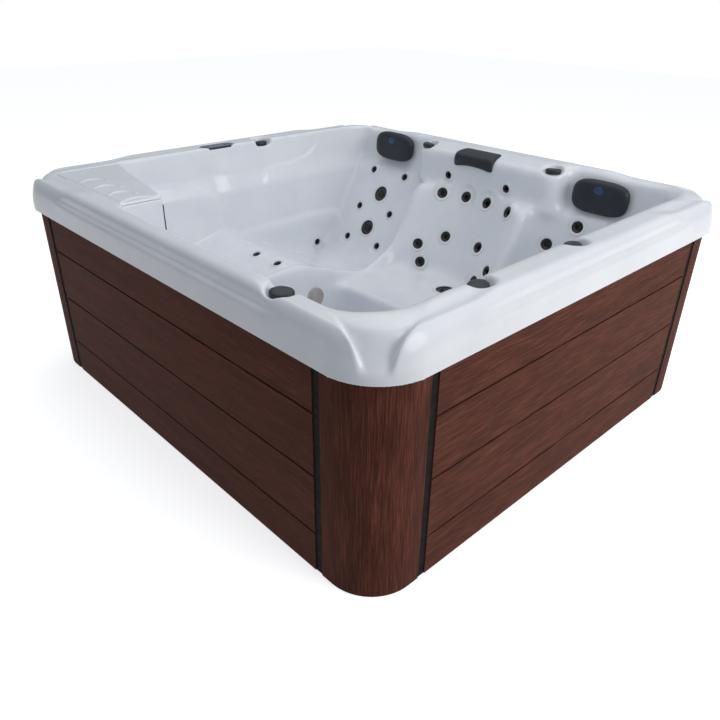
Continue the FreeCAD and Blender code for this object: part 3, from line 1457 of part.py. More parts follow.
def skimmer():
    """Frame, floating weir and its pin at the skimmer's mouth; returns the mouth's cut."""
    border = "skimmer_frame_border"
    right = "-mouth_from_end"
    left = f"({right} - mouth_width)"
    thick = ("running_fit", "skimmer_frame_thickness + running_fit")
    plate = slanted_box("SkimmerPlate", (f"{left} - {border}", f"{right} + {border}"), thick,
                        (f"mouth_low - {border}", f"mouth_high + {border}"))
    window = slanted_box("SkimmerWindow", (left, right),
                         ("-cut_overrun", "skimmer_frame_thickness + cut_overrun"),
                         ("mouth_low", "mouth_high"))
    pin_y = "(skimmer_frame_thickness / 2 + running_fit)"
    pin_z = "(mouth_low + weir_gap + weir_pin_radius)"
    pin_length = f"mouth_width + {border}"
    pin_x = f"{left} - {border} / 2"
    pin = slanted_rod("WeirPin", "weir_pin_radius / 2", pin_length, pin_x, pin_y, pin_z)
    pin_hole = slanted_rod("PinHole", "weir_pin_radius / 2 + running_fit", f"{pin_length} + 2 * running_fit",
                           f"{pin_x} - running_fit", pin_y, pin_z)
    keep(cut("SkimmerFrame", plate, group("SkimmerCuts", [window, pin_hole])), "skimmer_frame")
    keep(pin, "weir_pin")
    flap_x = (f"{left} + weir_gap / 4", f"{right} - weir_gap / 4")
    flap_y = (f"{pin_y} - weir_thickness / 2", f"{pin_y} + weir_thickness / 2")
    leaf = slanted_box("WeirLeaf", flap_x, flap_y, (pin_z, "mouth_high - weir_gap"))
    barrel = slanted_rod("WeirBarrel", "weir_pin_radius", "mouth_width - weir_gap / 2", flap_x[0], pin_y,
                         pin_z)
    bore = slanted_rod("WeirBore", "weir_pin_radius / 2 + running_fit", "mouth_width + cut_overrun",
                       f"{left} - cut_overrun / 2", pin_y, pin_z)
    keep(cut("WeirFlap", fuse("WeirPlate", [leaf, barrel]), bore), "weir_flap")
    return slanted_box("SkimmerMouth", (left, right), ("-2 * filter_wall - cut_overrun", "cut_overrun"),
                       ("mouth_low", "mouth_high"))


# The three arc ribs of the lid: places along it, from the end towards the corner
LID_RIB_SHARES = (0.3, 0.5, 0.7)


def filter_set():
    """Lid with three arc ribs, and two cartridges; returns the chamber's outside and cuts."""
    seat = DECK_UNDERSIDE
    lid_right = "-filter_right - lid_gap"
    plate = plan_prism("LidPlate", filter_plan("-lid_left", lid_right, "lid_gap", "lid_back"), seat,
                       f"{seat} + lid_thickness")
    ribs = []
    for share in LID_RIB_SHARES:
        x = f"(-filter_right - {share} * (filter_left - filter_right))"
        y = f"({filter_front(x)} / 2 - lid_back / 2 - lid_rib_radius / 2)"
        name = f"LidRib{len(ribs)}"
        top = f"{seat} + lid_thickness"
        ring = cut(name + "Ring", rod(name + "Outer", "lid_rib_radius", "lid_rib_height", x, y, top),
                   rod(name + "Inner", "lid_rib_radius - lid_rib_width", "lid_rib_height", x, y, top))
        half = box(name + "Half", (f"{x} - lid_rib_radius", f"{x} + lid_rib_radius"),
                   (y, f"{y} + lid_rib_radius"),
                   (top, f"{top} + lid_rib_height"))
        ribs.append(common(name, ring, half))
    keep(fuse("FilterLid", [plate, *ribs]), "filter_lid")
    cartridge = turned("Cartridge", tube_outline("cartridge_core", "cartridge_radius", "0",
                                                 "cartridge_length"))
    spots = []
    for index in range(2):
        x = value(f"-cartridge_x - {index} * cartridge_spacing")
        spots.append(FreeCAD.Placement(Vector(x, value("-cartridge_y"), value("chamber_floor")), UPRIGHT))
    keep(copies("FilterCartridges", cartridge, spots), "filter_cartridges")
    right = "-filter_right - filter_wall"
    outside = plan_prism("ChamberOutside", filter_plan("-chamber_left - shell_wall", "-filter_right", "0",
                                                       "(chamber_back + shell_wall)"),
                         "chamber_floor - shell_wall", DECK_UNDERSIDE)
    inside = plan_prism("ChamberInside", filter_plan("-chamber_left", right, "filter_wall", "chamber_back"),
                        "chamber_floor", ABOVE)
    recess = plan_prism("LidRecess", filter_plan("-lid_left - lid_gap", "-filter_right + cut_overrun",
                                                 "-cut_overrun", "(lid_back + lid_gap)"), seat, ABOVE)
    outlet = rod("ChamberOutlet", "pipe_radius + running_fit", "shell_wall + 2 * cut_overrun",
                 "-cartridge_x", "-cartridge_y", "chamber_floor - shell_wall - cut_overrun")
    return outside, [inside, recess, outlet]


# How far the undersides of the sloping rooms lie back and down, in walls
UNDERSIDE_SHARES = ("0.8", "1.4")


def acrylic_shell():
    """The whole moulded shell: lip, deck, rooms of the basin, and every hole in it."""
    knob_cups, knob_tools = knobs()
    panel_cup, panel_recess = control_panel()
    chamber_outside, chamber_tools = filter_set()
    tray = lip_tray()
    rooms_outside = fuse("RoomsOutside", basin_volumes("Outside", "shell_wall", *UNDERSIDE_SHARES))
    below_deck = box("BelowDeck", (f"-{HALF_X}", HALF_X), (f"-{HALF_Y}", HALF_Y),
                     ("0", "overall_height - deck_round / 4"))
    trimmed = common("RoomsTrimmed", rooms_outside, below_deck)
    body = fuse("ShellOutside", [tray, trimmed, chamber_outside, panel_cup, *knob_cups])
    rooms = fuse("Rooms", basin_volumes("Inside", "0", "0", "0"))
    head_block = box("HeadBlock", ("-head_block_left", "head_block_right"), ("head_block_face", HALF_Y),
                     ("bowl_floor - shell_wall", ABOVE))
    filter_block = plan_prism("FilterBlock", filter_plan("-filter_left", "-filter_right", "0", "filter_back"),
                              "0", ABOVE)
    water = cut("Basin", rooms, fuse("Blocks", [head_block, filter_block]))
    void_wall = "(head_block_face + head_wall)"
    head_void = box("HeadVoid", ("shell_wall - head_block_left", "head_block_right - shell_wall"),
                    (void_wall, "bowl_back + 2 * shell_wall"),
                    ("bowl_floor - 2 * shell_wall",
                     "overall_height - middle_pillow_thickness - 3 * shell_wall"))
    hollow = cut("ShellHollow", body, fuse("Hollows", [water, head_void]))
    tools = [*jets(), *large_jets(), *knob_tools, panel_recess, *chamber_tools, *corner_cuts(),
             middle_pillow(),
             waterfall(), skimmer(), *floor_fittings()]
    keep(cut("AcrylicShell", hollow, fuse("ShellCuts", tools)), "acrylic_shell")


def pump(number, x, side):
    """A pump on the pan: volute with its ports, motor and impeller; side is where it delivers."""
    name = f"Pump{number}"
    shaft_hole = "shaft_radius + running_fit"
    volute = turned(name + "Volute", [
        ("pipe_radius", "-neck_length"), ("neck_radius", "-neck_length"), ("neck_radius", "0"),
        ("volute_radius", "0"), ("volute_radius", "volute_length"), (shaft_hole, "volute_length"),
        (shaft_hole, "volute_length - volute_wall"),
        ("volute_radius - volute_wall", "volute_length - volute_wall"),
        ("volute_radius - volute_wall", "volute_wall"), ("pipe_radius", "volute_wall")])
    place(volute, x, "pump_face_y", "pump_axis_z", ALONG_MINUS_Y)
    turn = ALONG_X if side == 1 else ALONG_MINUS_X
    port_y = "pump_face_y - volute_length / 2"
    port_z = "pump_axis_z + discharge_rise"
    port = rod(name + "Port", "neck_radius", "discharge_reach", x, port_y, port_z, turn)
    bore = rod(name + "PortBore", "pipe_radius", "discharge_reach + cut_overrun", x, port_y, port_z, turn)
    room = rod(name + "Room", "volute_radius - volute_wall", "volute_length - 2 * volute_wall", x,
               "pump_face_y - volute_wall", "pump_axis_z", ALONG_MINUS_Y)
    wet_end = cut(name + "WetEnd", fuse(name + "Casting", [volute, port]),
                  fuse(name + "Inside", [bore, room]))
    motor = turned(name + "Motor", [
        (shaft_hole, "volute_length"), ("volute_radius", "volute_length"),
        ("volute_radius", "volute_length + motor_flange"), ("motor_radius", "volute_length + motor_flange"),
        ("motor_radius", "volute_length + motor_length"), (shaft_hole, "volute_length + motor_length")])
    place(motor, x, "pump_face_y", "pump_axis_z", ALONG_MINUS_Y)
    disc = "volute_wall + impeller_gap"
    impeller = turned(name + "Impeller", [
        ("0", disc), ("impeller_radius", disc), ("impeller_radius", f"{disc} + impeller_thickness / 2"),
        ("2 * shaft_radius", f"{disc} + impeller_thickness"),
        ("shaft_radius", f"{disc} + impeller_thickness"),
        ("shaft_radius", "volute_length + motor_length"), ("0", "volute_length + motor_length")])
    keep(place(impeller, x, "pump_face_y", "pump_axis_z", ALONG_MINUS_Y), f"impeller_{number}")
    middle = "(pump_face_y - volute_length - motor_flange - (motor_length - motor_flange) / 2)"
    block = box(name + "Block", (f"{x} - cradle_width / 2", f"{x} + cradle_width / 2"),
                (f"{middle} - cradle_length / 2", f"{middle} + cradle_length / 2"),
                ("pan_thickness", "pump_axis_z - motor_radius / 2"))
    bed = rod(name + "Bed", "motor_radius + running_fit / 4", "motor_length + 2 * cut_overrun", x,
              f"{middle} - motor_length / 2 - cut_overrun", "pump_axis_z", ALONG_Y)
    return wet_end, motor, cut(name + "Cradle", block, bed)


def pumps():
    """Both pumps; returns the cradles that carry their motors."""
    wet_ends, motors, cradles = zip(pump(1, "first_pump_x", -1), pump(2, "second_pump_x", 1))
    keep(group("PumpWetEnds", list(wet_ends)), "pump_wet_ends")
    keep(group("PumpMotors", list(motors)), "pump_motors")
    return list(cradles)


HEATER_Y = "(pump_face_y - volute_length / 2)"
HEATER_Z = "(pump_axis_z + discharge_rise)"
HEATER_RIGHT = "(first_pump_x - discharge_reach)"
HEATER_LEFT = "(first_pump_x - discharge_reach - heater_length)"


SADDLE_SHARES = (0.25, 0.75)


def heater():
    """A flow-through heater in line with the first pump's outlet; returns its two saddles."""
    tube = turned("HeaterTube", [
        ("pipe_radius", "0"), ("heater_radius + heater_wall", "0"),
        ("heater_radius + heater_wall", "union_length"),
        ("heater_radius", "union_length"), ("heater_radius", "heater_length - union_length"),
        ("heater_radius + heater_wall", "heater_length - union_length"),
        ("heater_radius + heater_wall", "heater_length"),
        ("pipe_radius", "heater_length"), ("pipe_radius", "heater_length - union_length"),
        ("heater_radius - heater_wall", "heater_length - union_length"),
        ("heater_radius - heater_wall", "union_length"),
        ("pipe_radius", "union_length")])
    keep(place(tube, HEATER_LEFT, HEATER_Y, HEATER_Z, ALONG_X), "heater")
    saddles = []
    for share in SADDLE_SHARES:
        x = f"({HEATER_LEFT} + {share} * heater_length)"
        block = box(f"Saddle{len(saddles)}", (f"{x} - saddle_width / 2", f"{x} + saddle_width / 2"),
                    (f"{HEATER_Y} - saddle_depth / 2", f"{HEATER_Y} + saddle_depth / 2"),
                    ("pan_thickness", f"{HEATER_Z} - heater_radius / 2"))
        bed = rod(f"SaddleBed{len(saddles)}", "heater_radius + running_fit / 4", "2 * saddle_width",
                  f"{x} - saddle_width", HEATER_Y, HEATER_Z, ALONG_X)
        saddles.append(cut(f"HeaterSaddle{len(saddles)}", block, bed))
    return saddles


def control_box():
    """Electronics box that stands on the pan behind the front panel, with its own cover."""
    front = f"(bar_depth + control_box_clear - {FRAME_Y})"
    back = f"({front} + control_box_depth)"
    x = ("control_box_left", "control_box_right")
    z = ("pan_thickness", "pan_thickness + control_box_height")
    outside = box("BoxOutside", x, (f"{front} + control_box_wall", back), z)
    wall = "control_box_wall"
    room = box("BoxRoom", (f"{x[0]} + {wall}", f"{x[1]} - {wall}"), (front, f"{back} - {wall}"),
               (f"{z[0]} + {wall}", f"{z[1]} - {wall}"))
    keep(cut("ControlBox", outside, room), "control_box")
    keep(box("ControlBoxCover", x, (front, f"{front} + control_box_wall"), z), "control_box_cover")


def pipes():
    """Water lines between suction, skimmer, pumps, heater, manifolds and drain."""
    pump_y = "pump_face_y + neck_length"
    suction_x = "-footwell_left - shell_wall - pipe_bend / 2"
    side_x = "(second_pump_x + discharge_reach + pipe_bend + running_fit)"
    runs = [
        pipe("SuctionPipe", [
            (suction_x, "suction_y", "suction_z"), ("suction_pipe_x", "suction_y", "suction_z"),
            ("suction_pipe_x", "suction_y", "low_pipe_z"), ("suction_pipe_x", "suction_pipe_y", "low_pipe_z"),
            ("first_pump_x", "suction_pipe_y", "low_pipe_z"),
            ("first_pump_x", "suction_pipe_y", "pump_axis_z"),
            ("first_pump_x", pump_y, "pump_axis_z")], "pipe_radius", "pipe_bend"),
        pipe("SkimmerPipe", [
            ("-cartridge_x", "-cartridge_y", "chamber_floor"), ("-cartridge_x", "-cartridge_y", "low_pipe_z"),
            ("-cartridge_x", "skimmer_pipe_y", "low_pipe_z"),
            ("second_pump_x", "skimmer_pipe_y", "low_pipe_z"),
            ("second_pump_x", "skimmer_pipe_y", "pump_axis_z"), ("second_pump_x", pump_y, "pump_axis_z")],
            "pipe_radius", "pipe_bend"),
        pipe("SidePipe", [
            ("second_pump_x + discharge_reach", HEATER_Y, HEATER_Z), (side_x, HEATER_Y, HEATER_Z),
            (side_x, "side_pipe_end", HEATER_Z)], "pipe_radius", "pipe_bend"),
        pipe("DrainPipe", [
            ("drain_x", "drain_y", "footwell_floor - shell_wall - drain_neck"),
            ("drain_x", "drain_y", "low_pipe_z"),
            ("drain_pipe_turn", "drain_y", "low_pipe_z"), ("drain_pipe_turn", "drain_y", "drain_valve_z"),
            (f"drain_barrel_length - {FRAME_X}", "drain_y", "drain_valve_z")], "drain_pipe_radius",
            "drain_pipe_bend"),
    ]
    ends = {"FrontManifold": (HEATER_LEFT, HEATER_Y, HEATER_Z, ALONG_MINUS_X),
            "SideManifold": (side_x, "side_pipe_end", HEATER_Z, ALONG_Y)}
    for name, spot in ends.items():
        manifold = turned(name, [
            ("pipe_radius", "0"), ("manifold_radius", "0"), ("manifold_radius", "manifold_length"),
            ("0", "manifold_length"), ("0", "manifold_length - pipe_wall"),
            ("pipe_radius", "manifold_length - pipe_wall")])
        runs.append(place(manifold, *spot))
    keep(group("WaterPipes", runs), "water_pipes")


def skirt_fittings():
    """Drain valve with its lever, and the cable gland, through the left skirt."""
    inner_face = f"-{FRAME_X}"
    spout_end = "plank_thickness + spout_proud"
    barrel_end = "-drain_barrel_length"
    valve = turned("DrainValveBarrel", [
        ("spout_bore", barrel_end), ("drain_barrel_radius", barrel_end),
        ("drain_barrel_radius", "-fitting_flange_depth"),
        ("fitting_flange", "-fitting_flange_depth"), ("fitting_flange", "0"), ("spout_shoulder", "0"),
        ("spout_shoulder", "plank_thickness"), ("spout_radius", "plank_thickness"),
        ("spout_radius", spout_end),
        ("spout_bore", spout_end)])
    place(valve, inner_face, "drain_y", "drain_valve_z", ALONG_MINUS_X)
    stem_x = f"(drain_barrel_length / 2 + fitting_flange_depth / 2 - {FRAME_X})"
    top = "(drain_valve_z + drain_barrel_radius)"
    stem_hole = rod("LeverHole", "lever_stem + running_fit", "lever_stem_depth + cut_overrun", stem_x,
                    "drain_y",
                    f"{top} - lever_stem_depth")
    keep(cut("DrainValve", valve, stem_hole), "drain_valve")
    arm = box("LeverArm", (f"{stem_x} - lever_width / 2", f"{stem_x} + lever_length"),
              ("drain_y - lever_width / 2", "drain_y + lever_width / 2"),
              (f"{top} + running_fit", f"{top} + running_fit + lever_thickness"))
    stem = rod("LeverStem", "lever_stem", "lever_stem_depth + lever_thickness", stem_x, "drain_y",
               f"{top} + running_fit - lever_stem_depth")
    keep(fuse("DrainLever", [arm, stem]), "drain_lever")
    gland = turned("CableGland", [
        ("gland_bore", "-fitting_flange_depth"),
        ("fitting_flange + gland_radius / 2", "-fitting_flange_depth"),
        ("fitting_flange + gland_radius / 2", "0"), ("gland_radius", "0"),
        ("gland_radius", "plank_thickness + spout_proud / 2"),
        ("gland_bore", "plank_thickness + spout_proud / 2")])
    keep(place(gland, inner_face, "gland_y", "gland_z", ALONG_MINUS_X), "cable_gland")


def write_parts():
    """Checks every object, then writes each sub-part to its own file."""
    doc.recompute()
    for item in doc.Objects:
        if "Invalid" in item.State or "Error" in item.State:
            raise RuntimeError(f"{item.Name} failed: {item.State}")
    for node in NODES:
        if node.Shape.isNull() or not node.Shape.isValid():
            raise RuntimeError(f"{node.Label} has no valid shape")
    os.makedirs("parts", exist_ok=True)
    for node in NODES:
        node.Shape.exportStep(f"parts/{node.Label}.step")


base_pan()
frame()
footwell_supports()
planks()
panel_battens()
corner_posts()
edge_strips()
acrylic_shell()
wall_pillow("lounger_pillow", "lounger_pillow_x", "lounger_pillow_z")
wall_pillow("corner_pillow", "corner_pillow_x", "corner_pillow_z")
keep(group("EquipmentStands", pumps() + heater()), "equipment_stands")
control_box()
pipes()
skirt_fittings()
write_parts()
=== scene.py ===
import math

import bpy
import numpy as np
from mathutils import Matrix, Vector

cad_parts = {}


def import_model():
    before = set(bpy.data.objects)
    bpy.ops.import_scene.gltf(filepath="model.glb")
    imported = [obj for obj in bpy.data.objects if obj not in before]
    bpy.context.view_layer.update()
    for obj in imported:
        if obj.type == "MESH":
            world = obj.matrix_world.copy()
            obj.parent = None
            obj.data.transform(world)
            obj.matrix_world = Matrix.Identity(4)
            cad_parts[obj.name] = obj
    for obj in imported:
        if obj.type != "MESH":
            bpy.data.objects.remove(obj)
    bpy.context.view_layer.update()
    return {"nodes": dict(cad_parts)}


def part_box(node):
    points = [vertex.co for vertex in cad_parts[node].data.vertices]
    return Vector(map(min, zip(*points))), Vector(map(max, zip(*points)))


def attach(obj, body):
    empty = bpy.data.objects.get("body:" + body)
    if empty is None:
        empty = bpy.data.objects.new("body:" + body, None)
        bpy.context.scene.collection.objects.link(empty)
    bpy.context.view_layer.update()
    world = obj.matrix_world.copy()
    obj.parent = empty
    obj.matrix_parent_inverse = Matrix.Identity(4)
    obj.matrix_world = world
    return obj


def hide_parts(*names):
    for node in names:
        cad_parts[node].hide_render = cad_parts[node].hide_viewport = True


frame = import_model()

NODES = frame["nodes"]
MM = 0.001


# Materials

NOISE_LOW, NOISE_HIGH = 0.3, 0.7


def link(tree, source, socket):
    tree.links.new(source, socket)


def new_material(name):
    made = bpy.data.materials.new(name)
    made.use_nodes = True
    tree = made.node_tree
    return made, tree, tree.nodes["Principled BSDF"]


def stretched_coordinates(tree, scale):
    """Places on the object in metres, scaled along each axis."""
    where = tree.nodes.new("ShaderNodeTexCoord")
    mapping = tree.nodes.new("ShaderNodeMapping")
    mapping.inputs["Scale"].default_value = scale
    link(tree, where.outputs["Object"], mapping.inputs["Vector"])
    return mapping.outputs["Vector"]


def noise(tree, vector, scale, detail=4.0, roughness=0.55):
    made = tree.nodes.new("ShaderNodeTexNoise")
    made.inputs["Scale"].default_value = scale
    made.inputs["Detail"].default_value = detail
    made.inputs["Roughness"].default_value = roughness
    link(tree, vector, made.inputs["Vector"])
    return made.outputs["Fac"]


def ramp(tree, source, stops):
    made = tree.nodes.new("ShaderNodeValToRGB")
    band = made.color_ramp
    while len(band.elements) < len(stops):
        band.elements.new(0.5)
    for element, (place, colour) in zip(band.elements, stops):
        element.position = place
        element.color = (*colour, 1)
    link(tree, source, made.inputs["Fac"])
    return made.outputs["Color"]


def spread(tree, source, low, high):
    """Maps a noise to a range of values."""
    made = tree.nodes.new("ShaderNodeMapRange")
    made.inputs["From Min"].default_value = NOISE_LOW
    made.inputs["From Max"].default_value = NOISE_HIGH
    made.inputs["To Min"].default_value = low
    made.inputs["To Max"].default_value = high
    link(tree, source, made.inputs["Value"])
    return made.outputs["Result"]


def bump(tree, source, shader, strength, distance):
    made = tree.nodes.new("ShaderNodeBump")
    made.inputs["Strength"].default_value = strength
    made.inputs["Distance"].default_value = distance
    link(tree, source, made.inputs["Height"])
    link(tree, made.outputs["Normal"], shader.inputs["Normal"])


def calculated(tree, operation, *values):
    """The result of a Math node; each value is a socket or a number."""
    made = tree.nodes.new("ShaderNodeMath")
    made.operation = operation
    for socket, value in zip(made.inputs, values):
        if isinstance(value, float):
            socket.default_value = value
        else:
            link(tree, value, socket)
    return made.outputs[0]


def mixed_colour(tree, share, first, second):
    made = tree.nodes.new("ShaderNodeMix")
    made.data_type = "RGBA"
    made.inputs["A"].default_value = (*first, 1)
    made.inputs["B"].default_value = (*second, 1)
    link(tree, share, made.inputs["Factor"])
    return made.outputs["Result"]


def shaded(colour, share):
    return tuple(min(1.0, part * share) for part in colour)


def moulded(name, colour, rough=(0.35, 0.5), scale=60.0, vary=0.12, lift=0.0004, metal=0.0, coat=0.0,
            stretch=(1, 1, 1), shine=0.5):
    """Moulded or cast stuff: slight mottling, roughness that varies, and a fine grain."""
    made, tree, shader = new_material(name)
    where = stretched_coordinates(tree, stretch)
    mottling = noise(tree, where, scale * 0.12, 3.0)
    stops = [(NOISE_LOW, shaded(colour, 1 - vary)), (NOISE_HIGH, shaded(colour, 1 + vary))]
    link(tree, ramp(tree, mottling, stops), shader.inputs["Base Color"])
    link(tree, spread(tree, noise(tree, where, scale), *rough), shader.inputs["Roughness"])
    bump(tree, noise(tree, where, scale * 8, 2.0), shader, 0.25, lift)
    shader.inputs["Metallic"].default_value = metal
    shader.inputs["Coat Weight"].default_value = coat
    shader.inputs["Specular IOR Level"].default_value = shine
    return made


def wood(name, along, dark, middle, light):
    """Wood or wood-plastic board: long fine streaks along one axis, with dull pores."""
    made, tree, shader = new_material(name)

    def drawn_out(share):
        scale = [1.0, 1.0, 1.0]
        scale[along] = share
        return stretched_coordinates(tree, scale)

    streaks = noise(tree, drawn_out(0.03), 330.0, 5.0, 0.68)
    broad = noise(tree, drawn_out(0.12), 34.0, 3.0)
    tone = calculated(tree, "MULTIPLY_ADD", broad, 0.2, calculated(tree, "MULTIPLY", streaks, 0.84))
    stops = [(0.37, dark), (0.52, middle), (0.67, light)]
    link(tree, ramp(tree, tone, stops), shader.inputs["Base Color"])
    link(tree, spread(tree, streaks, 0.55, 0.8), shader.inputs["Roughness"])
    bump(tree, streaks, shader, 0.5, 0.0009)
    shader.inputs["Specular IOR Level"].default_value = 0.08
    return made


def acrylic(name):
    """White gloss shell: faint cool clouds and a very shallow ripple."""
    made, tree, shader = new_material(name)
    where = stretched_coordinates(tree, (1, 1, 1))
    clouds = noise(tree, where, 5.0)
    stops = [(0.35, (0.77, 0.795, 0.84)), (0.65, (0.82, 0.84, 0.875))]
    link(tree, ramp(tree, clouds, stops), shader.inputs["Base Color"])
    link(tree, spread(tree, noise(tree, where, 30.0), 0.17, 0.25), shader.inputs["Roughness"])
    bump(tree, noise(tree, where, 22.0, 2.0), shader, 0.05, 0.002)
    shader.inputs["Coat Weight"].default_value = 0.12
    shader.inputs["Coat Roughness"].default_value = 0.08
    shader.inputs["Specular IOR Level"].default_value = 0.4
    return made


MAHOGANY = ((0.030, 0.009, 0.006), (0.092, 0.029, 0.018), (0.20, 0.072, 0.048))
POST_MAHOGANY = ((0.026, 0.007, 0.005), (0.088, 0.027, 0.018), (0.19, 0.066, 0.044))
PINE = ((0.30, 0.19, 0.10), (0.42, 0.28, 0.16), (0.52, 0.37, 0.22))
MATERIALS = {
    "plank_x": wood("plank_along_x", 0, *MAHOGANY),
    "plank_y": wood("plank_along_y", 1, *MAHOGANY),
    "post": wood("post_upright", 2, *POST_MAHOGANY),
    "strip": moulded("strip_black", (0.007, 0.006, 0.005), (0.5, 0.7), shine=0.06),
    "acrylic": acrylic("acrylic_white"),
    "pillow": moulded("pillow_foam_skin", (0.013, 0.019, 0.026), (0.38, 0.55), 120.0, 0.2, 0.0006),
    "inset": moulded("inset_blue", (0.012, 0.045, 0.16), (0.2, 0.32), 80.0, 0.1, 0.0002, coat=0.3),
    "knob": moulded("knob_slate", (0.014, 0.020, 0.027), (0.3, 0.45), 110.0, 0.15),
    "jet_black": moulded("jet_black", (0.008, 0.008, 0.009), (0.3, 0.45), 150.0, 0.2),
    "jet_grey": moulded("jet_grey", (0.055, 0.058, 0.065), (0.25, 0.4), 150.0, 0.15),
    "jet_white": moulded("jet_white", (0.80, 0.81, 0.83), (0.2, 0.3), 110.0, 0.05, 0.0002, coat=0.2),
    "chrome": moulded("chrome_trim", (0.72, 0.73, 0.75), (0.06, 0.16), 90.0, 0.05, 0.0001, metal=1.0),
    "steel": moulded("brushed_steel", (0.52, 0.53, 0.55), (0.25, 0.4), 90.0, 0.08, 0.0003, metal=1.0,
                     stretch=(1, 1, 8)),
    "black_plastic": moulded("black_plastic", (0.014, 0.014, 0.015), (0.4, 0.58)),
    "grey_plastic": moulded("grey_plastic", (0.42, 0.42, 0.40), (0.4, 0.55)),
    "suction": moulded("suction_beige", (0.40, 0.375, 0.34), (0.35, 0.5), 90.0, 0.1),
    "panel": moulded("panel_gloss_blue", (0.014, 0.034, 0.10), (0.12, 0.2), 70.0, 0.15, 0.0002, coat=0.5),
    "display": moulded("display_glass", (0.004, 0.006, 0.010), (0.04, 0.09), 40.0, 0.2, 0.0001, coat=0.6),
    "button": moulded("button_rubber", (0.16, 0.17, 0.19), (0.45, 0.6)),
    "lens": moulded("lens_clear", (0.62, 0.66, 0.70), (0.05, 0.12), 60.0, 0.06, 0.0002, coat=0.6),
    "pvc": moulded("pvc_white", (0.74, 0.74, 0.72), (0.35, 0.5)),
    "timber": wood("frame_timber", 2, *PINE),
    "timber_x": wood("frame_timber_x", 0, *PINE),
    "pan": moulded("pan_plastic", (0.020, 0.020, 0.021), (0.5, 0.7), 50.0),
    "motor": moulded("motor_paint", (0.030, 0.045, 0.075), (0.35, 0.5), 80.0),
    "brass": moulded("brass", (0.60, 0.42, 0.16), (0.22, 0.38), 80.0, 0.08, 0.0003, metal=1.0),
    "lever": moulded("lever_red", (0.32, 0.025, 0.02), (0.35, 0.5), 80.0),
    "paper": moulded("filter_paper", (0.70, 0.70, 0.66), (0.7, 0.85), 120.0, 0.06, 0.001),
}


# Meshes, in millimetres


def piece(name, points, faces, material, body, stands_for=(), slot=None, sharp=35.0, normals=None):
    """A finished mesh piece, riding on a body."""
    mesh = bpy.data.meshes.new(name)
    mesh.from_pydata((np.asarray(points, float) * MM).tolist(), [], [list(map(int, f)) for f in faces])
    mesh.update()
    mesh.shade_smooth()
    if normals is not None:
        mesh.normals_split_custom_set_from_vertices(normals.tolist())
    else:
        mesh.set_sharp_from_angle(angle=math.radians(sharp))
    mesh.materials.append(MATERIALS[material])
    made = bpy.data.objects.new(name, mesh)
    bpy.context.scene.collection.objects.link(made)
    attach(made, body)
    if stands_for:
        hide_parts(*stands_for)
    return made


class Gathered:
    """Forms that become one piece."""

    def __init__(self):
        self.points, self.faces, self.count = [], [], 0

    def add(self, points, faces):
        self.faces += [tuple(i + self.count for i in face) for face in faces]
        self.points.append(points)
        self.count += len(points)

    def piece(self, name, *about):
        return piece(name, np.vstack(self.points), self.faces, *about)


def ring_faces(rings, count, first=0):
    """Quads between closed rings of points."""
    faces = []
    for ring in range(rings - 1):
        for i in range(count):
            j = (i + 1) % count
            a = first + ring * count
            faces.append((a + i, a + j, a + count + j, a + count + i))
    return faces


def lathe(outline, places, segments=40):
    """A turned form about its own Z from (radius, height) pairs, once at each place."""
    angles = np.linspace(0, 2 * math.pi, segments, endpoint=False)
    outline = [(max(r, 0.01), z) for r, z in outline]
    own = np.array([(r * math.cos(a), r * math.sin(a), z) for r, z in outline for a in angles])
    points, faces = [], []
    for place in places:
        faces += ring_faces(len(outline), segments, len(points) * len(own))
        points.append(own @ place[:3, :3].T + place[:3, 3])
    return np.vstack(points), faces


def facing(point, normal):
    """A place at a point whose own Z is the normal."""
    z = np.asarray(normal, float)
    z = z / np.linalg.norm(z)
    side = np.cross((0.0, 0.0, 1.0) if abs(z[2]) < 0.9 else (0.0, 1.0, 0.0), z)
    x = side / np.linalg.norm(side)
    made = np.eye(4)
    made[:3, :3] = np.column_stack((x, np.cross(z, x), z))
    made[:3, 3] = point
    return made


def box_of(node):
    """The low and high corners of a node."""
    return tuple(np.array(corner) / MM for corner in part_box(node))


def loose_parts(node):
    """Points of each separate solid of a node."""
    mesh = NODES[node].data
    points = np.array([v.co for v in mesh.vertices]) / MM
    keys, same = np.unique(points.round(2), axis=0, return_inverse=True)
    same = same.reshape(-1)
    parent = list(range(len(keys)))

    def root(i):
        while parent[i] != i:
            parent[i] = parent[parent[i]]
            i = parent[i]
        return i

    for polygon in mesh.polygons:
        first, *rest = (root(same[v]) for v in polygon.vertices)
        for other in rest:
            parent[root(other)] = root(first)
    groups = {}
    for i in range(len(keys)):
        groups.setdefault(root(i), []).append(i)
    return [keys[members] for members in groups.values()]


JET_PROUD = 3.0
BASIN_MIDDLE = np.array((60.0, -60.0, 760.0))
LOUNGER_EDGE = -300.0
LOUNGER_BACK = np.array((0.0, -430.0, 253.0)) / math.hypot(430.0, 253.0)
UPWARD = np.array((0.0, 0.0, 1.0))


def large_jet_axis(middle):
    """About where a large jet faces: up from the seat, or out of the lounger's back."""
    return UPWARD if middle[0] > LOUNGER_EDGE else LOUNGER_BACK


def round_places(node, about=None):
    """Seat centre, outward axis and radius of each round solid of a node; only a deep one needs a hint."""
    found = []
    for points in loose_parts(node):
        middle = points.mean(0)
        axes = np.linalg.eigh(np.cov((points - middle).T))[1]
        axis = axes[:, np.argmax(np.abs(axes.T @ about(middle)))] if about else axes[:, 0]
        if axis @ (BASIN_MIDDLE - middle) < 0:
            axis = -axis
        along = points @ axis
        centre = middle + axis * (along.max() - JET_PROUD - middle @ axis)
        across = (points - centre) - np.outer((points - centre) @ axis, axis)
        found.append((centre, axis, np.linalg.norm(across, axis=1).max()))
    return found


SMALL_JETS = round_places("jet_rings")
LARGE_JETS = round_places("large_jet_housings", large_jet_axis)


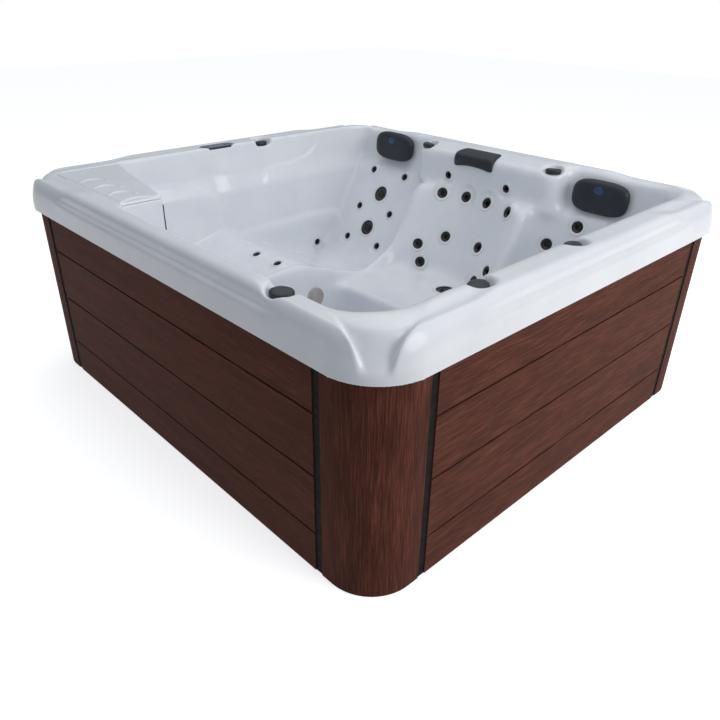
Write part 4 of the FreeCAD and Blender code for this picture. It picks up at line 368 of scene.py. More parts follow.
# The shell: a field of distances in millimetres, negative in the acrylic, and its skin

FLOAT = np.float32
LENGTH, WIDTH, HEIGHT = 2200.0, 2020.0, 880.0
SHELL_WALL = 17.0
FINE, COARSE, LIP_STEP = 4.5, 8.0, 4.0
FIELD_MARGIN, FINE_BAND = 12.0, 70.0
FIELD_LOW, LIP_LOW = 64.0, 732.0


def graded(start, *runs):
    """Places along an axis in runs of (end, step)."""
    made = [np.array([start])]
    for end, step in runs:
        count = max(1, round((end - start) / step))
        made.append(np.linspace(start, end, count + 1)[1:])
        start = end
    return np.concatenate(made)


def level_axis(half):
    """Places along X or Y, closer together by the lip."""
    outer, inner = half + FIELD_MARGIN, half - FINE_BAND
    return graded(-outer, (-inner, FINE), (inner, COARSE), (outer, FINE))


XS, YS = level_axis(LENGTH / 2), level_axis(WIDTH / 2)
ZS = graded(FIELD_LOW, (LIP_LOW, COARSE), (HEIGHT + FIELD_MARGIN, LIP_STEP))
AXES = (XS, YS, ZS)
X = XS.astype(FLOAT).reshape(-1, 1, 1)
Y = YS.astype(FLOAT).reshape(1, -1, 1)
Z = ZS.astype(FLOAT).reshape(1, 1, -1)


def smooth(share):
    share = np.clip(share, 0, 1)
    return share * share * (3 - 2 * share)


def window(at, start, rise, end, fall):
    """0 up to a start and from an end on, 1 between, with a rise and a fall."""
    return smooth((at - start) / rise) * smooth((end - at) / fall)


def smax(a, b, k):
    """The larger value, with the edge between rounded over k."""
    close = np.maximum(k - np.abs(a - b), 0)
    return np.maximum(a, b) + close * close * (0.25 / k)


def smin(a, b, k):
    return -smax(-a, -b, k)


def cut_out(field, room, k=5.0):
    return smax(field, -room, k)


def plan(left, right, front, back, radius):
    """Distance from a rounded rectangle, seen from above."""
    qx = np.abs(X - (left + right) / 2) - (right - left) / 2 + radius
    qy = np.abs(Y - (front + back) / 2) - (back - front) / 2 + radius
    return np.hypot(np.maximum(qx, 0), np.maximum(qy, 0)) + np.minimum(np.maximum(qx, qy), 0) - radius


def eased(values, reach):
    """Values smoothed by a bell curve, whose places are given in its own widths."""
    weights = np.exp(-(reach**2) / 2)
    padded = np.pad(values, len(reach) // 2, mode="edge")
    return np.convolve(padded, weights / weights.sum(), "valid")


def side_line(line, soft):
    """Height along Y of a softened line, and the cosine of its slope."""
    step = 2.0
    ys = np.arange(-1100.0, 1100.0, step)
    zs = np.interp(ys, *np.array(sorted(line), float).T)
    zs = eased(zs, np.arange(-3 * soft, 3 * soft + 1, step) / soft)
    cosines = 1 / np.hypot(1, np.gradient(zs, ys))
    return (np.interp(YS, ys, values).astype(FLOAT).reshape(1, -1, 1) for values in (zs, cosines))


def room_over(line, soft, left, right, front, back, k):
    """A room over a softened side line, between walls."""
    height, cosine = side_line(line, soft)
    room = smax((height - Z) * cosine, np.maximum(left - X, X - right), k)
    return smax(room, np.maximum(front - Y, Y - back), k)


SEAT_FLOOR, SEAT_HEAD, SEAT_FRONT = 290.0, 700.0, -90.0


def hollow_seat(left, right, low, high, sag, k):
    """A seat whose back is dished by a sag and leans from a low to a high Y."""
    middle, half = (left + right) / 2, (right - left) / 2
    radius = (half**2 + sag**2) / (2 * sag)
    aside = np.clip(X - middle, -half, half)
    lean = (high - low) / (SEAT_HEAD - SEAT_FLOOR)
    back = low + lean * (Z - SEAT_FLOOR) - radius + np.sqrt(radius**2 - aside**2)
    room = smax(SEAT_FLOOR - Z, (Y - back) / math.hypot(1, lean), 70.0)
    room = smax(room, np.abs(X - middle) - half, k)
    return smax(room, SEAT_FRONT - Y, k)


# Lines of (Y, Z) on the lounger, its armrest, the ridge between the seats, and the left wall
LOUNGER = [(1000, 924), (868, 700), (615, 270), (540, 228), (330, 240), (-120, 455), (-560, 340), (-765, 340)]
ARMREST = [(860, 1000), (720, 720), (637, 580), (530, 403), (320, 314), (-60, 438), (-166, 446), (-690, 440)]
RIDGE = [(860, 950), (700, 690), (480, 330), (-90, 330)]
LEDGE = [(-164, 430), (-60, 432), (82, 436), (252, 440), (431, 444), (593, 438), (662, 420)]
SWOOSHES = (
    [(-597, 834), (-564, 793), (-510, 756), (-437, 738), (-353, 733), (-274, 723), (-202, 691), (-145, 644),
     (-118, 594)],
    [(151, 691), (177, 724), (249, 742), (358, 745), (459, 764), (524, 799), (563, 823)],
)
PILASTER_DEPTH, SWOOSH_DEPTH, LEDGE_DEPTH = 8.0, 8.0, 14.0
# Start, rise, end and fall along Y
PILASTER_SPAN = (-140, 95, 150, 95)
LEDGE_SPAN = (-120, 60, 690, 40)
PILASTER_TOP, PILASTER_FADE = 840, 90


def wall_relief():
    """How far the left wall stands in: at a pilaster, below each swoosh, and along the lounger's ledge."""
    y, z = YS.reshape(-1, 1), ZS.reshape(1, -1)
    relief = PILASTER_DEPTH * window(y, *PILASTER_SPAN) * smooth((PILASTER_TOP - z) / PILASTER_FADE)
    for line in SWOOSHES:
        at, heights = np.array(line).T
        height = np.interp(y, at, heights)
        below = window(z, height - 170, 150, height + 12, 24)
        relief = relief + SWOOSH_DEPTH * below * window(y, at[0] - 10, 50, at[-1], 40)
    height = np.interp(y, *np.array(LEDGE).T)
    below = window(z, height - 120, 95, height + 18, 36)
    relief = relief + LEDGE_DEPTH * below * window(y, *LEDGE_SPAN)
    return relief[None].astype(FLOAT)


# Plans of the rooms: left, right, front and back wall, and the corners' radius
BOWL = (-950, 955, -905, 915, 150)
RIGHT_BENCH = (400, 900, -850, 260, 110)
NEAR_BENCH = (-340, 620, -850, -440, 110)
FOOTWELL = (-310, 480, -520, 140, 100)
BOWL_FLOOR, BENCH_HEIGHT, FOOTWELL_FLOOR = 690, 320, 90
# The seats: left and right wall, the Y of the back at the floor and at the head, and its sag
MIDDLE_SEAT = (-305, 305, 590, 795, 100)
CORNER_SEAT = (345, 895, 740, 862, 60)
# Walls of what lies over a side line: left, right, front and back
LOUNGER_LEFT, LOUNGER_WALLS = -915, (-345, -765, 900)
ARMREST_WALLS = (-400, -240, -690, 720)
RIDGE_WALLS = (285, 365, -90, 760)
HEAD_BLOCK_LEFT, HEAD_BLOCK_RIGHT, HEAD_BLOCK_FRONT, HEAD_BLOCK_LOW = -430, 425, 790, 680
WALL_LEAN = math.radians(4.0)
LEAN = math.tan(WALL_LEAN)


def basin():
    """The rooms of the basin, joined with soft edges; negative in the water."""
    relief = wall_relief()
    walls = plan(*BOWL) + (HEIGHT - Z) * LEAN + relief * smooth((-700 - X) / 150)
    rooms = smax(walls.astype(FLOAT), BOWL_FLOOR - Z, 70.0)
    benches = smin(plan(*RIGHT_BENCH), plan(*NEAR_BENCH), 60.0)
    for room, k in (
        (room_over(LOUNGER, 34.0, relief + LOUNGER_LEFT, *LOUNGER_WALLS, 44.0), 46.0),
        (room_over(ARMREST, 34.0, *ARMREST_WALLS, 40.0), 46.0),
        (room_over(RIDGE, 30.0, *RIDGE_WALLS, 40.0), 40.0),
        (hollow_seat(*MIDDLE_SEAT, 44.0), 46.0),
        (hollow_seat(*CORNER_SEAT, 50.0), 46.0),
        (smax(benches, BENCH_HEIGHT - Z, 100.0), 40.0),
        (smax(plan(*FOOTWELL), FOOTWELL_FLOOR - Z, 80.0), 36.0),
    ):
        rooms = smin(rooms, room, k)
    head_block = smax(smax(HEAD_BLOCK_LEFT - X, X - HEAD_BLOCK_RIGHT, 5.0), HEAD_BLOCK_FRONT - Y, 90.0)
    rooms = smax(rooms, -smax(head_block, HEAD_BLOCK_LOW - Z, 20.0), 60.0)
    return smax(rooms, -filter_block(0.0), 26.0)


FILTER_CORNER, FILTER_END = (-970.0, -610.0), -350.0
FILTER_FALL = 120.0 / 620.0


def filter_front():
    """Distances along the skimmer block's slanting front, and out from it."""
    size = math.hypot(1, FILTER_FALL)
    x, y = X - FILTER_CORNER[0], Y - FILTER_CORNER[1]
    return (x - y * FILTER_FALL) / size, (y + x * FILTER_FALL) / size


def filter_block(inset):
    """Plan of the skimmer block: a slanting front and an end wall."""
    return np.maximum(filter_front()[1], X - FILTER_END) + inset


# Heights of the lip by the distance in from its edge: on the shoulder by a corner, and in the corner's trough
SHOULDER = [(-20, 780), (0, 806), (8, 824), (18, 846), (28, 861), (34, 866.5), (41, 869), (50, 868.5),
            (62, 868), (80, 871.5), (100, 877), (118, 880)]
TROUGH = [(-20, 775), (0, 779), (8, 784), (20, 800), (35, 826), (50, 852), (58, 862), (68, 868), (90, 873),
          (118, 877), (140, 879)]
TROUGH_HALF_WIDTH = [(0, 36), (12, 42), (20, 50), (28, 60), (42, 78), (60, 95), (74, 108), (132, 140)]
LIP_RADIUS, BAND_TOP, DECK_INSET = 185, 832, 18
BAND_ROUND, DECK_ROUND, STEP_FILLET, ROLL_ROUND = 30.0, 38.0, 5.0, 22.0
TROUGH_EDGE, SHOULDER_END, SHOULDER_FADE = 15, 235, 110
HEAD_FALL = 26.0


def softened(at, line):
    """Values along a line of points, with its corners eased."""
    steps = np.arange(-40.0, 200.0)
    values = np.interp(steps, *np.array(line).T)
    return np.interp(at, steps, eased(values, np.arange(-12, 13) / 4.0))


def head_slope():
    """Fall of the deck over the head block, towards the basin."""
    return HEAD_FALL * window(Y, 600, 60, 905, 130) * window(X, -445, 40, 440, 40)


def outside():
    """The lip from outside, and the distance in from its edge.

    A low band has the deck set in behind it, and each corner has a trough between full shoulders.
    """
    inward = -plan(-LENGTH / 2, LENGTH / 2, -WIDTH / 2, WIDTH / 2, LIP_RADIUS)
    off_diagonal = np.abs((LENGTH / 2 - np.abs(X)) - (WIDTH / 2 - np.abs(Y))) / math.sqrt(2)
    fall = head_slope()
    band = smax(Z - BAND_TOP, -inward, BAND_ROUND)
    stepped = smin(band, smax(Z - HEIGHT + fall, DECK_INSET - inward, DECK_ROUND), STEP_FILLET)
    half_width = np.interp(inward, *np.array(TROUGH_HALF_WIDTH).T)
    trough = smooth((half_width + TROUGH_EDGE - off_diagonal) / (2 * TROUGH_EDGE))
    top = softened(inward, SHOULDER) * (1 - trough) + softened(inward, TROUGH) * trough - fall
    slope = np.hypot(*np.gradient(top[:, :, 0], XS, YS))[:, :, None]
    rolled = smax((Z - top) / np.sqrt(1 + slope * slope), -inward, ROLL_ROUND)
    straight = smooth((off_diagonal - SHOULDER_END) / SHOULDER_FADE)
    return (rolled * (1 - straight) + stepped * straight).astype(FLOAT), inward


def near(centre, reach):
    """The block of the field around a place."""
    return tuple(slice(*np.searchsorted(axis, (middle - reach, middle + reach)))
                 for axis, middle in zip(AXES, centre))


SEAT_REACH, SEAT_BLEND, SEAT_DEPTH, DEPTH_BLEND = 60, 20, 30, 16


def seat_round(field, centre, axis, radius, hole):
    """Flattens the wall under a round fitting and opens a hole behind it."""
    block = near(centre, radius + SEAT_REACH)
    x, y, z = X[block[0]] - centre[0], Y[:, block[1]] - centre[1], Z[:, :, block[2]] - centre[2]
    along = x * axis[0] + y * axis[1] + z * axis[2]
    across = np.sqrt(np.maximum(x * x + y * y + z * z - along * along, 0))
    level = smooth((SEAT_DEPTH - np.abs(along)) / DEPTH_BLEND)
    weight = smooth((radius + SEAT_BLEND - across) / SEAT_BLEND) * level
    flattened = field[block] * (1 - weight) + along * weight
    field[block] = np.maximum(flattened, -np.maximum(across - hole, -along - SEAT_DEPTH))


# Each knob's direction into the basin, where its pocket is open
KNOBS = {"front_knob": (-0.6, 0.8), "right_front_knob": (-1, 0), "right_back_knob": (-1, 0),
         "far_right_knob": (0.5, -0.86), "far_left_knob": (-0.5, -0.86), "left_knob": (1, 0)}
POCKET_RADIUS, POCKET_FLOOR, POCKET_FLARE, POCKET_RUN = 41.0, 848, 0.22, 70
POCKET_FILLET, POCKET_EDGE = 14.0, 12.0


def knob_place(name):
    low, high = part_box(name)
    return (low.x + high.x) / 2 / MM, (low.y + high.y) / 2 / MM


def pocket(name):
    """A knob's pocket."""
    x, y = knob_place(name)
    dx, dy = KNOBS[name]
    along = np.clip((X - x) * dx + (Y - y) * dy, 0, POCKET_RUN)
    across = np.hypot(X - x - along * dx, Y - y - along * dy)
    wall = across - POCKET_RADIUS - POCKET_FLARE * (Z - POCKET_FLOOR)
    return smax(wall, POCKET_FLOOR - Z, POCKET_FILLET)


PANEL_RECESS, PANEL_FLOOR = (-1030.5, -957.5, -163, 23, 36), 853
LID_CORNER, LID_SEAT = (-937.0, -899.0), 863
CHAMBER_CORNER, CHAMBER_FLOOR, CHAMBER_WALL = (-900, -885), 300, 14.0
MOUTH_MIDDLE, MOUTH_HALF = (504.5, 742), (86.5, 71.5)
RIM_LOW, RIM_DEPTH = 740, 62
DECK_EDGE, CRISP_EDGE = 46, 12


def shell_field():
    """The shell as a solid, and as a sheet of one thickness whose lip ends level below."""
    outer, inward = outside()
    by_left_wall = smooth((-850 - X) / 60)
    by_filter_block = smooth((-290 - X) / 40) * smooth((-640 - Y) / 60)
    edge = DECK_EDGE - (DECK_EDGE - CRISP_EDGE) * np.maximum(by_left_wall, by_filter_block)
    field = smax(outer, -basin(), edge.astype(FLOAT))
    for name in KNOBS:
        field = cut_out(field, pocket(name), POCKET_EDGE)
    field = cut_out(field, smax(plan(*PANEL_RECESS), PANEL_FLOOR - Z, 4.0))
    lid = np.maximum(np.maximum(LID_CORNER[0] - X, LID_CORNER[1] - Y), filter_block(-40.0))
    field = cut_out(field, np.maximum(lid, LID_SEAT - Z), 3.0)
    chamber = np.maximum(np.maximum(CHAMBER_CORNER[0] - X, CHAMBER_CORNER[1] - Y),
                         np.maximum(filter_block(CHAMBER_WALL), CHAMBER_FLOOR - Z))
    field = cut_out(field, chamber, 3.0)
    along, out = filter_front()
    mouth = np.maximum(np.abs(along - MOUTH_MIDDLE[0]) - MOUTH_HALF[0],
                       np.abs(Z - MOUTH_MIDDLE[1]) - MOUTH_HALF[1])
    field = cut_out(field, np.maximum(mouth, np.abs(out + CHAMBER_WALL) - 2 * CHAMBER_WALL), 2.0)
    for centre, axis, radius in SMALL_JETS:
        seat_round(field, centre, axis, radius, radius * 0.7 + 2)
    for centre, axis, radius in LARGE_JETS:
        seat_round(field, centre, axis, radius, radius * 0.8)
    below = np.minimum(RIM_LOW - Z, RIM_DEPTH - inward)
    return field, np.maximum(np.maximum(field, -field - SHELL_WALL), below).astype(FLOAT)


def sampled(field, at):
    """The field between its grid points."""
    total = 0
    cells, shares = [], []
    for axis, values in zip(AXES, at.T):
        cell = np.clip(np.searchsorted(axis, values) - 1, 0, len(axis) - 2)
        cells.append(cell)
        shares.append((values - axis[cell]) / (axis[cell + 1] - axis[cell]))
    for corner in np.ndindex(2, 2, 2):
        weight = 1
        for share, side in zip(shares, corner):
            weight = weight * (share if side else 1 - share)
        total = total + weight * field[tuple(cell + side for cell, side in zip(cells, corner))]
    return total


def slope_at(field, points):
    """The field's slope at points, from values a little to each side."""
    reach = 5.0
    sides = np.eye(3) * reach
    rises = [sampled(field, points + side) - sampled(field, points - side) for side in sides]
    return np.stack([rise / (2 * reach) for rise in rises], 1)


def cell_points(field, cells):
    """One point in each crossed cell: the mean of the places where its edges are crossed."""
    corners = list(np.ndindex(2, 2, 2))
    values = np.stack([field[tuple((cells + corner).T)] for corner in corners], 1)
    total = np.zeros((len(cells), 3))
    count = np.zeros(len(cells))
    for a, first in enumerate(corners):
        for b, second in enumerate(corners):
            step = np.subtract(second, first)
            if step.sum() == 1 and np.abs(step).sum() == 1:
                met = (values[:, a] < 0) != (values[:, b] < 0)
                share = values[met, a] / (values[met, a] - values[met, b])
                total[met] += np.array(first) + np.outer(share, step)
                count[met] += 1
    inner = total / count[:, None]
    points = np.empty_like(inner)
    for i, axis in enumerate(AXES):
        low = axis[cells[:, i]]
        points[:, i] = low + inner[:, i] * (axis[cells[:, i] + 1] - low)
    return points


def skin(field):
    """The zero surface of the field as quads, one round each crossed edge of the grid."""
    inside = field < 0
    pieces = [inside[tuple(slice(c, n - 1 + c) for c, n in zip(corner, field.shape))]
              for corner in np.ndindex(2, 2, 2)]
    crossed = np.any(pieces, axis=0) & ~np.all(pieces, axis=0)
    cells = np.argwhere(crossed)
    index = np.full(crossed.shape, -1, np.int64)
    index[crossed] = np.arange(len(cells))
    faces = []
    for d in range(3):
        u, v = (d + 1) % 3, (d + 2) % 3
        low = [slice(None)] * 3
        high = [slice(None)] * 3
        low[d], high[d] = slice(0, -1), slice(1, None)
        change = inside[tuple(low)] != inside[tuple(high)]
        trim = [slice(None)] * 3
        trim[u] = trim[v] = slice(1, -1)
        edges = np.argwhere(change[tuple(trim)])
        edges[:, u] += 1
        edges[:, v] += 1
        ring = []
        for du, dv in ((-1, -1), (0, -1), (0, 0), (-1, 0)):
            cell = edges.copy()
            cell[:, u] += du
            cell[:, v] += dv
            ring.append(index[tuple(cell.T)])
        quads = np.stack(ring, 1)
        flip = ~inside[tuple(edges.T)]
        quads[flip] = quads[flip][:, ::-1]
        faces.append(quads)
    return cell_points(field, cells), np.vstack(faces)


DRAWN_WITHIN, LEAST_STEEP = 3.5, 0.5


def acrylic_shell():
    """The sheet's skin, drawn onto the solid's own faces and shaded by the solid's slope."""
    solid, sheet = shell_field()
    points, faces = skin(sheet)
    depth = sampled(solid, points)
    upper = depth > -SHELL_WALL / 2
    off = depth - np.where(upper, 0.0, -SHELL_WALL)
    steep = slope_at(solid, points)
    size = np.maximum((steep * steep).sum(1), LEAST_STEEP)
    wall = np.abs(off) < DRAWN_WITHIN
    points = points - steep * np.where(wall, off / size, 0.0)[:, None]
    outward = slope_at(solid, points) * np.where(upper, 1, -1)[:, None]
    normals = np.where(wall[:, None], outward, slope_at(sheet, points))
    normals = normals / np.maximum(np.linalg.norm(normals, axis=1), 1e-6)[:, None]
    piece("moulded_shell", points, faces, "acrylic", "tub", ["acrylic_shell"], "acrylic", normals=normals)


acrylic_shell()


# Jets


def small_jets():
    collars, rims, cups = Gathered(), Gathered(), Gathered()
    for centre, axis, radius in SMALL_JETS:
        place = [facing(centre, axis)]
        bore = radius * 0.62
        collars.add(*lathe([(bore + 1, -6), (bore + 1, -1), (bore + 2, 1.6), (radius * 0.78, 3.2),
                            (radius - 3.5, 3.4), (radius - 1.8, 2.8), (radius - 1.0, 1.2),
                            (radius - 0.8, -4)], place))
        rims.add(*lathe([(radius - 0.9, -4), (radius - 0.9, 0.9), (radius - 0.2, 1.5), (radius + 0.8, 1.1),
                         (radius + 1.4, -0.4), (radius + 1.4, -4)], place))
        cups.add(*lathe([(bore + 0.6, -8), (bore + 0.4, -2.5), (bore - 1.4, -0.6), (bore - 3.2, -1.4),
                         (bore * 0.55, -7), (bore * 0.48, -8.5), (bore * 0.42, -20), (0, -20)], place))
    collars.piece("jet_collars", "jet_white", "tub", ["jet_rings"], "jet_ring")
    rims.piece("jet_rims", "jet_white", "tub", (), "jet_ring")
    cups.piece("jet_cups", "jet_black", "tub", ["jet_nozzles"], "black_plastic")


def rotor(name, place, bore):
    """A large jet's turning nozzle, with a grey ring and two throats."""
    body = name + "_nozzle_body"
    face = [(bore - 0.3, -24), (bore - 0.3, -1.5), (bore - 1.6, -0.2), (bore - 4, -0.6), (bore - 6, -4.5),
            (bore * 0.62, -5.5), (bore * 0.58, -2.5), (bore * 0.5, -2.0), (bore * 0.46, -5),
            (bore * 0.3, -6.5), (bore * 0.26, -3), (bore * 0.12, -1.6), (0, -1.4)]
    piece(name + "_rotor", *lathe(face, [place], 64), "jet_black", body, [name + "_nozzle"], "black_plastic")
    ring = [(bore * 0.63, -5.4), (bore * 0.66, -4.2), (bore * 0.74, -4.0), (bore * 0.77, -5.0)]
    piece(name + "_grey_ring", *lathe(ring, [place], 64), "jet_grey", body, (), "black_plastic")
    spots = []
    for side in (-1, 1):
        spot = place.copy()
        spot[:3, 3] = place[:3, 3] + place[:3, 0] * side * bore * 0.4
        spots.append(spot)
    throat = [(5.8, -7), (6.2, -1.2), (5.2, -0.6), (4.6, -1.2), (4.4, -18), (0, -18)]
    piece(name + "_throats", *lathe(throat, spots, 28), "jet_black", body, (), "black_plastic")


def large_jets():
    collars, trims = Gathered(), Gathered()
    rotors = []
    for centre, axis, radius in LARGE_JETS:
        place = facing(centre, axis)
        bore = radius - (13 if radius < 58 else 16)
        collars.add(*lathe([(bore + 0.6, -30), (bore + 0.6, 0), (bore + 1.6, 2.0), (bore + 5, 3.0),
                            (radius - 3, 3.4), (radius - 1.2, 2.2), (radius - 0.6, -6)], [place]))
        trims.add(*lathe([(radius - 0.8, -6), (radius - 0.8, 1.4), (radius, 2.2), (radius + 1.6, 1.4),
                          (radius + 2.4, -0.5), (radius + 2.4, -6)], [place]))
        lounger_jet = "lounger_jet_upper" if centre[2] > 450 else "lounger_jet_lower"
        rotors.append(("seat_jet" if centre[0] > LOUNGER_EDGE else lounger_jet, place, bore))
    collars.piece("large_jet_collars", "jet_white", "tub", ["large_jet_housings"], "black_plastic")
    trims.piece("large_jet_trims", "jet_white", "tub", (), "jet_ring")
    for about in rotors:
        rotor(*about)


small_jets()
large_jets()


# Knobs: oval caps, given as rings of (share of the size, height), that fall towards the deck's edge

CAP_HALF_LENGTH, CAP_HALF_WIDTH, CAP_FALL = 36, 30, 0.5
CAP_RINGS = [(0.94, 0.6), (0.98, 6), (1.0, 10), (0.995, 13), (0.97, 16), (0.92, 18.2), (0.84, 19.8),
             (0.72, 20.8), (0.55, 21.5), (0.35, 21.9), (0.15, 22), (0.01, 22)]


def knob_cap(name):
    x, y = knob_place(name)
    dx, dy = KNOBS[name]
    place = facing((x, y, POCKET_FLOOR), UPWARD)
    place[:3, 0], place[:3, 1] = (-dy, dx, 0), (-dx, -dy, 0)
    count = 48
    points = []
    for share, height in CAP_RINGS:
        for i in range(count):
            a = 2 * math.pi * i / count
            fall = CAP_FALL * max(0.0, share * math.sin(a)) * max(0.0, height - 8)
            points.append((CAP_HALF_LENGTH * share * math.cos(a), CAP_HALF_WIDTH * share * math.sin(a),
                           height - fall))
    points = np.array(points) @ place[:3, :3].T + place[:3, 3]
    faces = ring_faces(len(CAP_RINGS), count)
    piece(name + "_cap", points, faces, "knob", name + "_body", [name], "knob", 50)


for knob in KNOBS:
    knob_cap(knob)


# Pillows

PILLOW_HALF_WIDTH, PILLOW_HALF_HEIGHT, PILLOW_SPINE = 135.0, 75.0, 52.0
PILLOW_CORNERS = 3.2
PILLOW_RINGS = [(0.86, 0.4), (0.90, 2), (0.955, 9), (0.99, 17), (1.0, 23), (0.985, 30), (0.94, 37),
                (0.86, 43), (0.74, 47.5), (0.6, 50), (0.44, 51.4), (0.26, 52), (0.08, 52.2)]
PILLOW_GAP, PILLOW_FILL = 0.4, 0.9
INSET_HALF_WIDTH, INSET_HALF_HEIGHT, INSET_UP, INSET_OUT = 25, 17, 33, 50.2


def pillow_outline(count):
    """Points of a rounded rectangle, mirrored about its long axis."""
    points = []
    for i in range(count):
        a = 2 * math.pi * i / count
        c, s = math.cos(a), math.sin(a)
        points.append((PILLOW_HALF_WIDTH * math.copysign(abs(c) ** (2 / PILLOW_CORNERS), c),
                       PILLOW_HALF_HEIGHT * math.copysign(abs(s) ** (2 / PILLOW_CORNERS), s)))
    return np.array(points)


def wall_pillow(name, x, z):
    """A moulded foam headrest with an inset: drawn in at the wall, full at its belly, crowned in front."""
    outline = pillow_outline(96)
    spine = np.column_stack((np.clip(outline[:, 0], -PILLOW_SPINE, PILLOW_SPINE), np.zeros(len(outline))))
    sideways = (1, 0, 0)
    out = np.array((0, -math.cos(WALL_LEAN), math.sin(WALL_LEAN)))
    up = np.array((0, math.sin(WALL_LEAN), math.cos(WALL_LEAN)))
    seat = np.array((x, BOWL[3] - (HEIGHT - z) * LEAN, z)) + out * PILLOW_GAP
    points = []
    for share, height in PILLOW_RINGS:
        flat = spine + (outline - spine) * share
        points.append(np.outer(flat[:, 0], sideways) + np.outer(flat[:, 1], up) + seat + height * out)
    count = len(outline)
    faces = ring_faces(len(PILLOW_RINGS), count)
    last = (len(PILLOW_RINGS) - 1) * count
    for base, turn in ((last, False), (0, True)):
        for i in range(count // 2):
            quad = (base + i, base + i + 1, base + (count - i - 1) % count, base + (count - i) % count)
            face = tuple(dict.fromkeys(quad))
            faces.append(face[::-1] if turn else face)
    made = piece(name + "_cushion", np.vstack(points), faces, "pillow", "tub", [name], "pillow", 80)
    shape = [(1.0, -5), (1.0, -0.4), (0.95, 0.7), (0.8, 1.5), (0.5, 2.1), (0.0, 2.3)]
    disc, faces = lathe(shape, [np.eye(4)])
    middle = seat + INSET_UP * up + INSET_OUT * out
    flat = (np.outer(disc[:, 0] * INSET_HALF_WIDTH, sideways) + np.outer(disc[:, 1] * INSET_HALF_HEIGHT, up)
            + np.outer(disc[:, 2], out))
    slope = disc[:, 1:2] * -1.6
    piece(name + "_inset", flat + slope * out + middle, faces, "inset", "tub", (), "panel_plastic")


wall_pillow("lounger_pillow", -672.0, 797.0)
wall_pillow("corner_pillow", 600.0, 772.0)


def smooth_loop(corners, count):
    """A closed curve through corners."""
    corners = np.asarray(corners, float)
    n = len(corners)
    points = []
    for s in np.linspace(0, n, count, endpoint=False):
        i = int(s)
        t = s - i
        a, b, c, d = (corners[(i + k) % n] for k in (-1, 0, 1, 2))
        points.append(0.5 * (2 * b + (c - a) * t + (2 * a - 5 * b + 4 * c - d) * t**2
                             + (3 * b - a - 3 * c + d) * t**3))
    return np.array(points)


PAD_SECTION = [(786, 798), (778, 803), (774, 822), (776, 841), (783, 857), (798, 868), (824, 874), (860, 876),
               (886, 873), (893, 866), (886, 859), (860, 852), (830, 848), (812, 840), (804, 828), (799, 812),
               (795, 802)]
PAD_LEFT, PAD_RIGHT, PAD_ROUND, PAD_ARCH = -158.0, 74.0, 24.0, 13


def middle_pillow():
    """A soft pad draped over the edge of the head block, with a lower edge that arches up."""
    loop = smooth_loop(PAD_SECTION, 102)
    count = len(loop)
    middle = loop.mean(0)
    steps = PAD_ROUND * (1 - np.cos(np.linspace(0.03, math.pi / 2, 10)))
    between = np.linspace(PAD_LEFT + PAD_ROUND, PAD_RIGHT - PAD_ROUND, 17)[1:-1]
    spans = np.concatenate((PAD_LEFT + steps, between, PAD_RIGHT - steps[::-1]))
    points = []
    for x in spans:
        gap = min(x - PAD_LEFT, PAD_RIGHT - x)
        share = 0.3 + 0.7 * math.sqrt(max(0.0, 1 - (1 - min(1.0, gap / PAD_ROUND)) ** 2))
        inset = (middle - loop) * (1 - share) * 0.35
        aside = (x - (PAD_LEFT + PAD_RIGHT) / 2) / ((PAD_RIGHT - PAD_LEFT) / 2)
        arch = PAD_ARCH * (1 - aside**2) * np.clip((830 - loop[:, 1]) / 30, 0, 1)
        section = loop + inset + np.column_stack((np.zeros(count), arch))
        points.append(np.column_stack((np.full(count, x), section)))
    faces = ring_faces(len(spans), count)
    last = (len(spans) - 1) * count
    faces.append(tuple(range(count))[::-1])
    faces.append(tuple(range(last, last + count)))
    name = "middle_pillow"
    made = piece(name + "_cushion", np.vstack(points), faces, "pillow", "tub", [name], "pillow", 80)


middle_pillow()


# Filter cover, suction cover and water spout

LID_GAP, LID_END_GAP, LID_TOP, LID_UNDERSIDE = 1.5, 1.0, 877.5, 864.4
CRESCENTS, CRESCENT_Y, CRESCENT_RADIUS = (-700.0, -574.0, -450.0), -838, 50
CRESCENT_RISE, CRESCENT_DISH, APRON_FALL, LID_EDGE_FALL = 3.4, 1.2, 5, 4.5


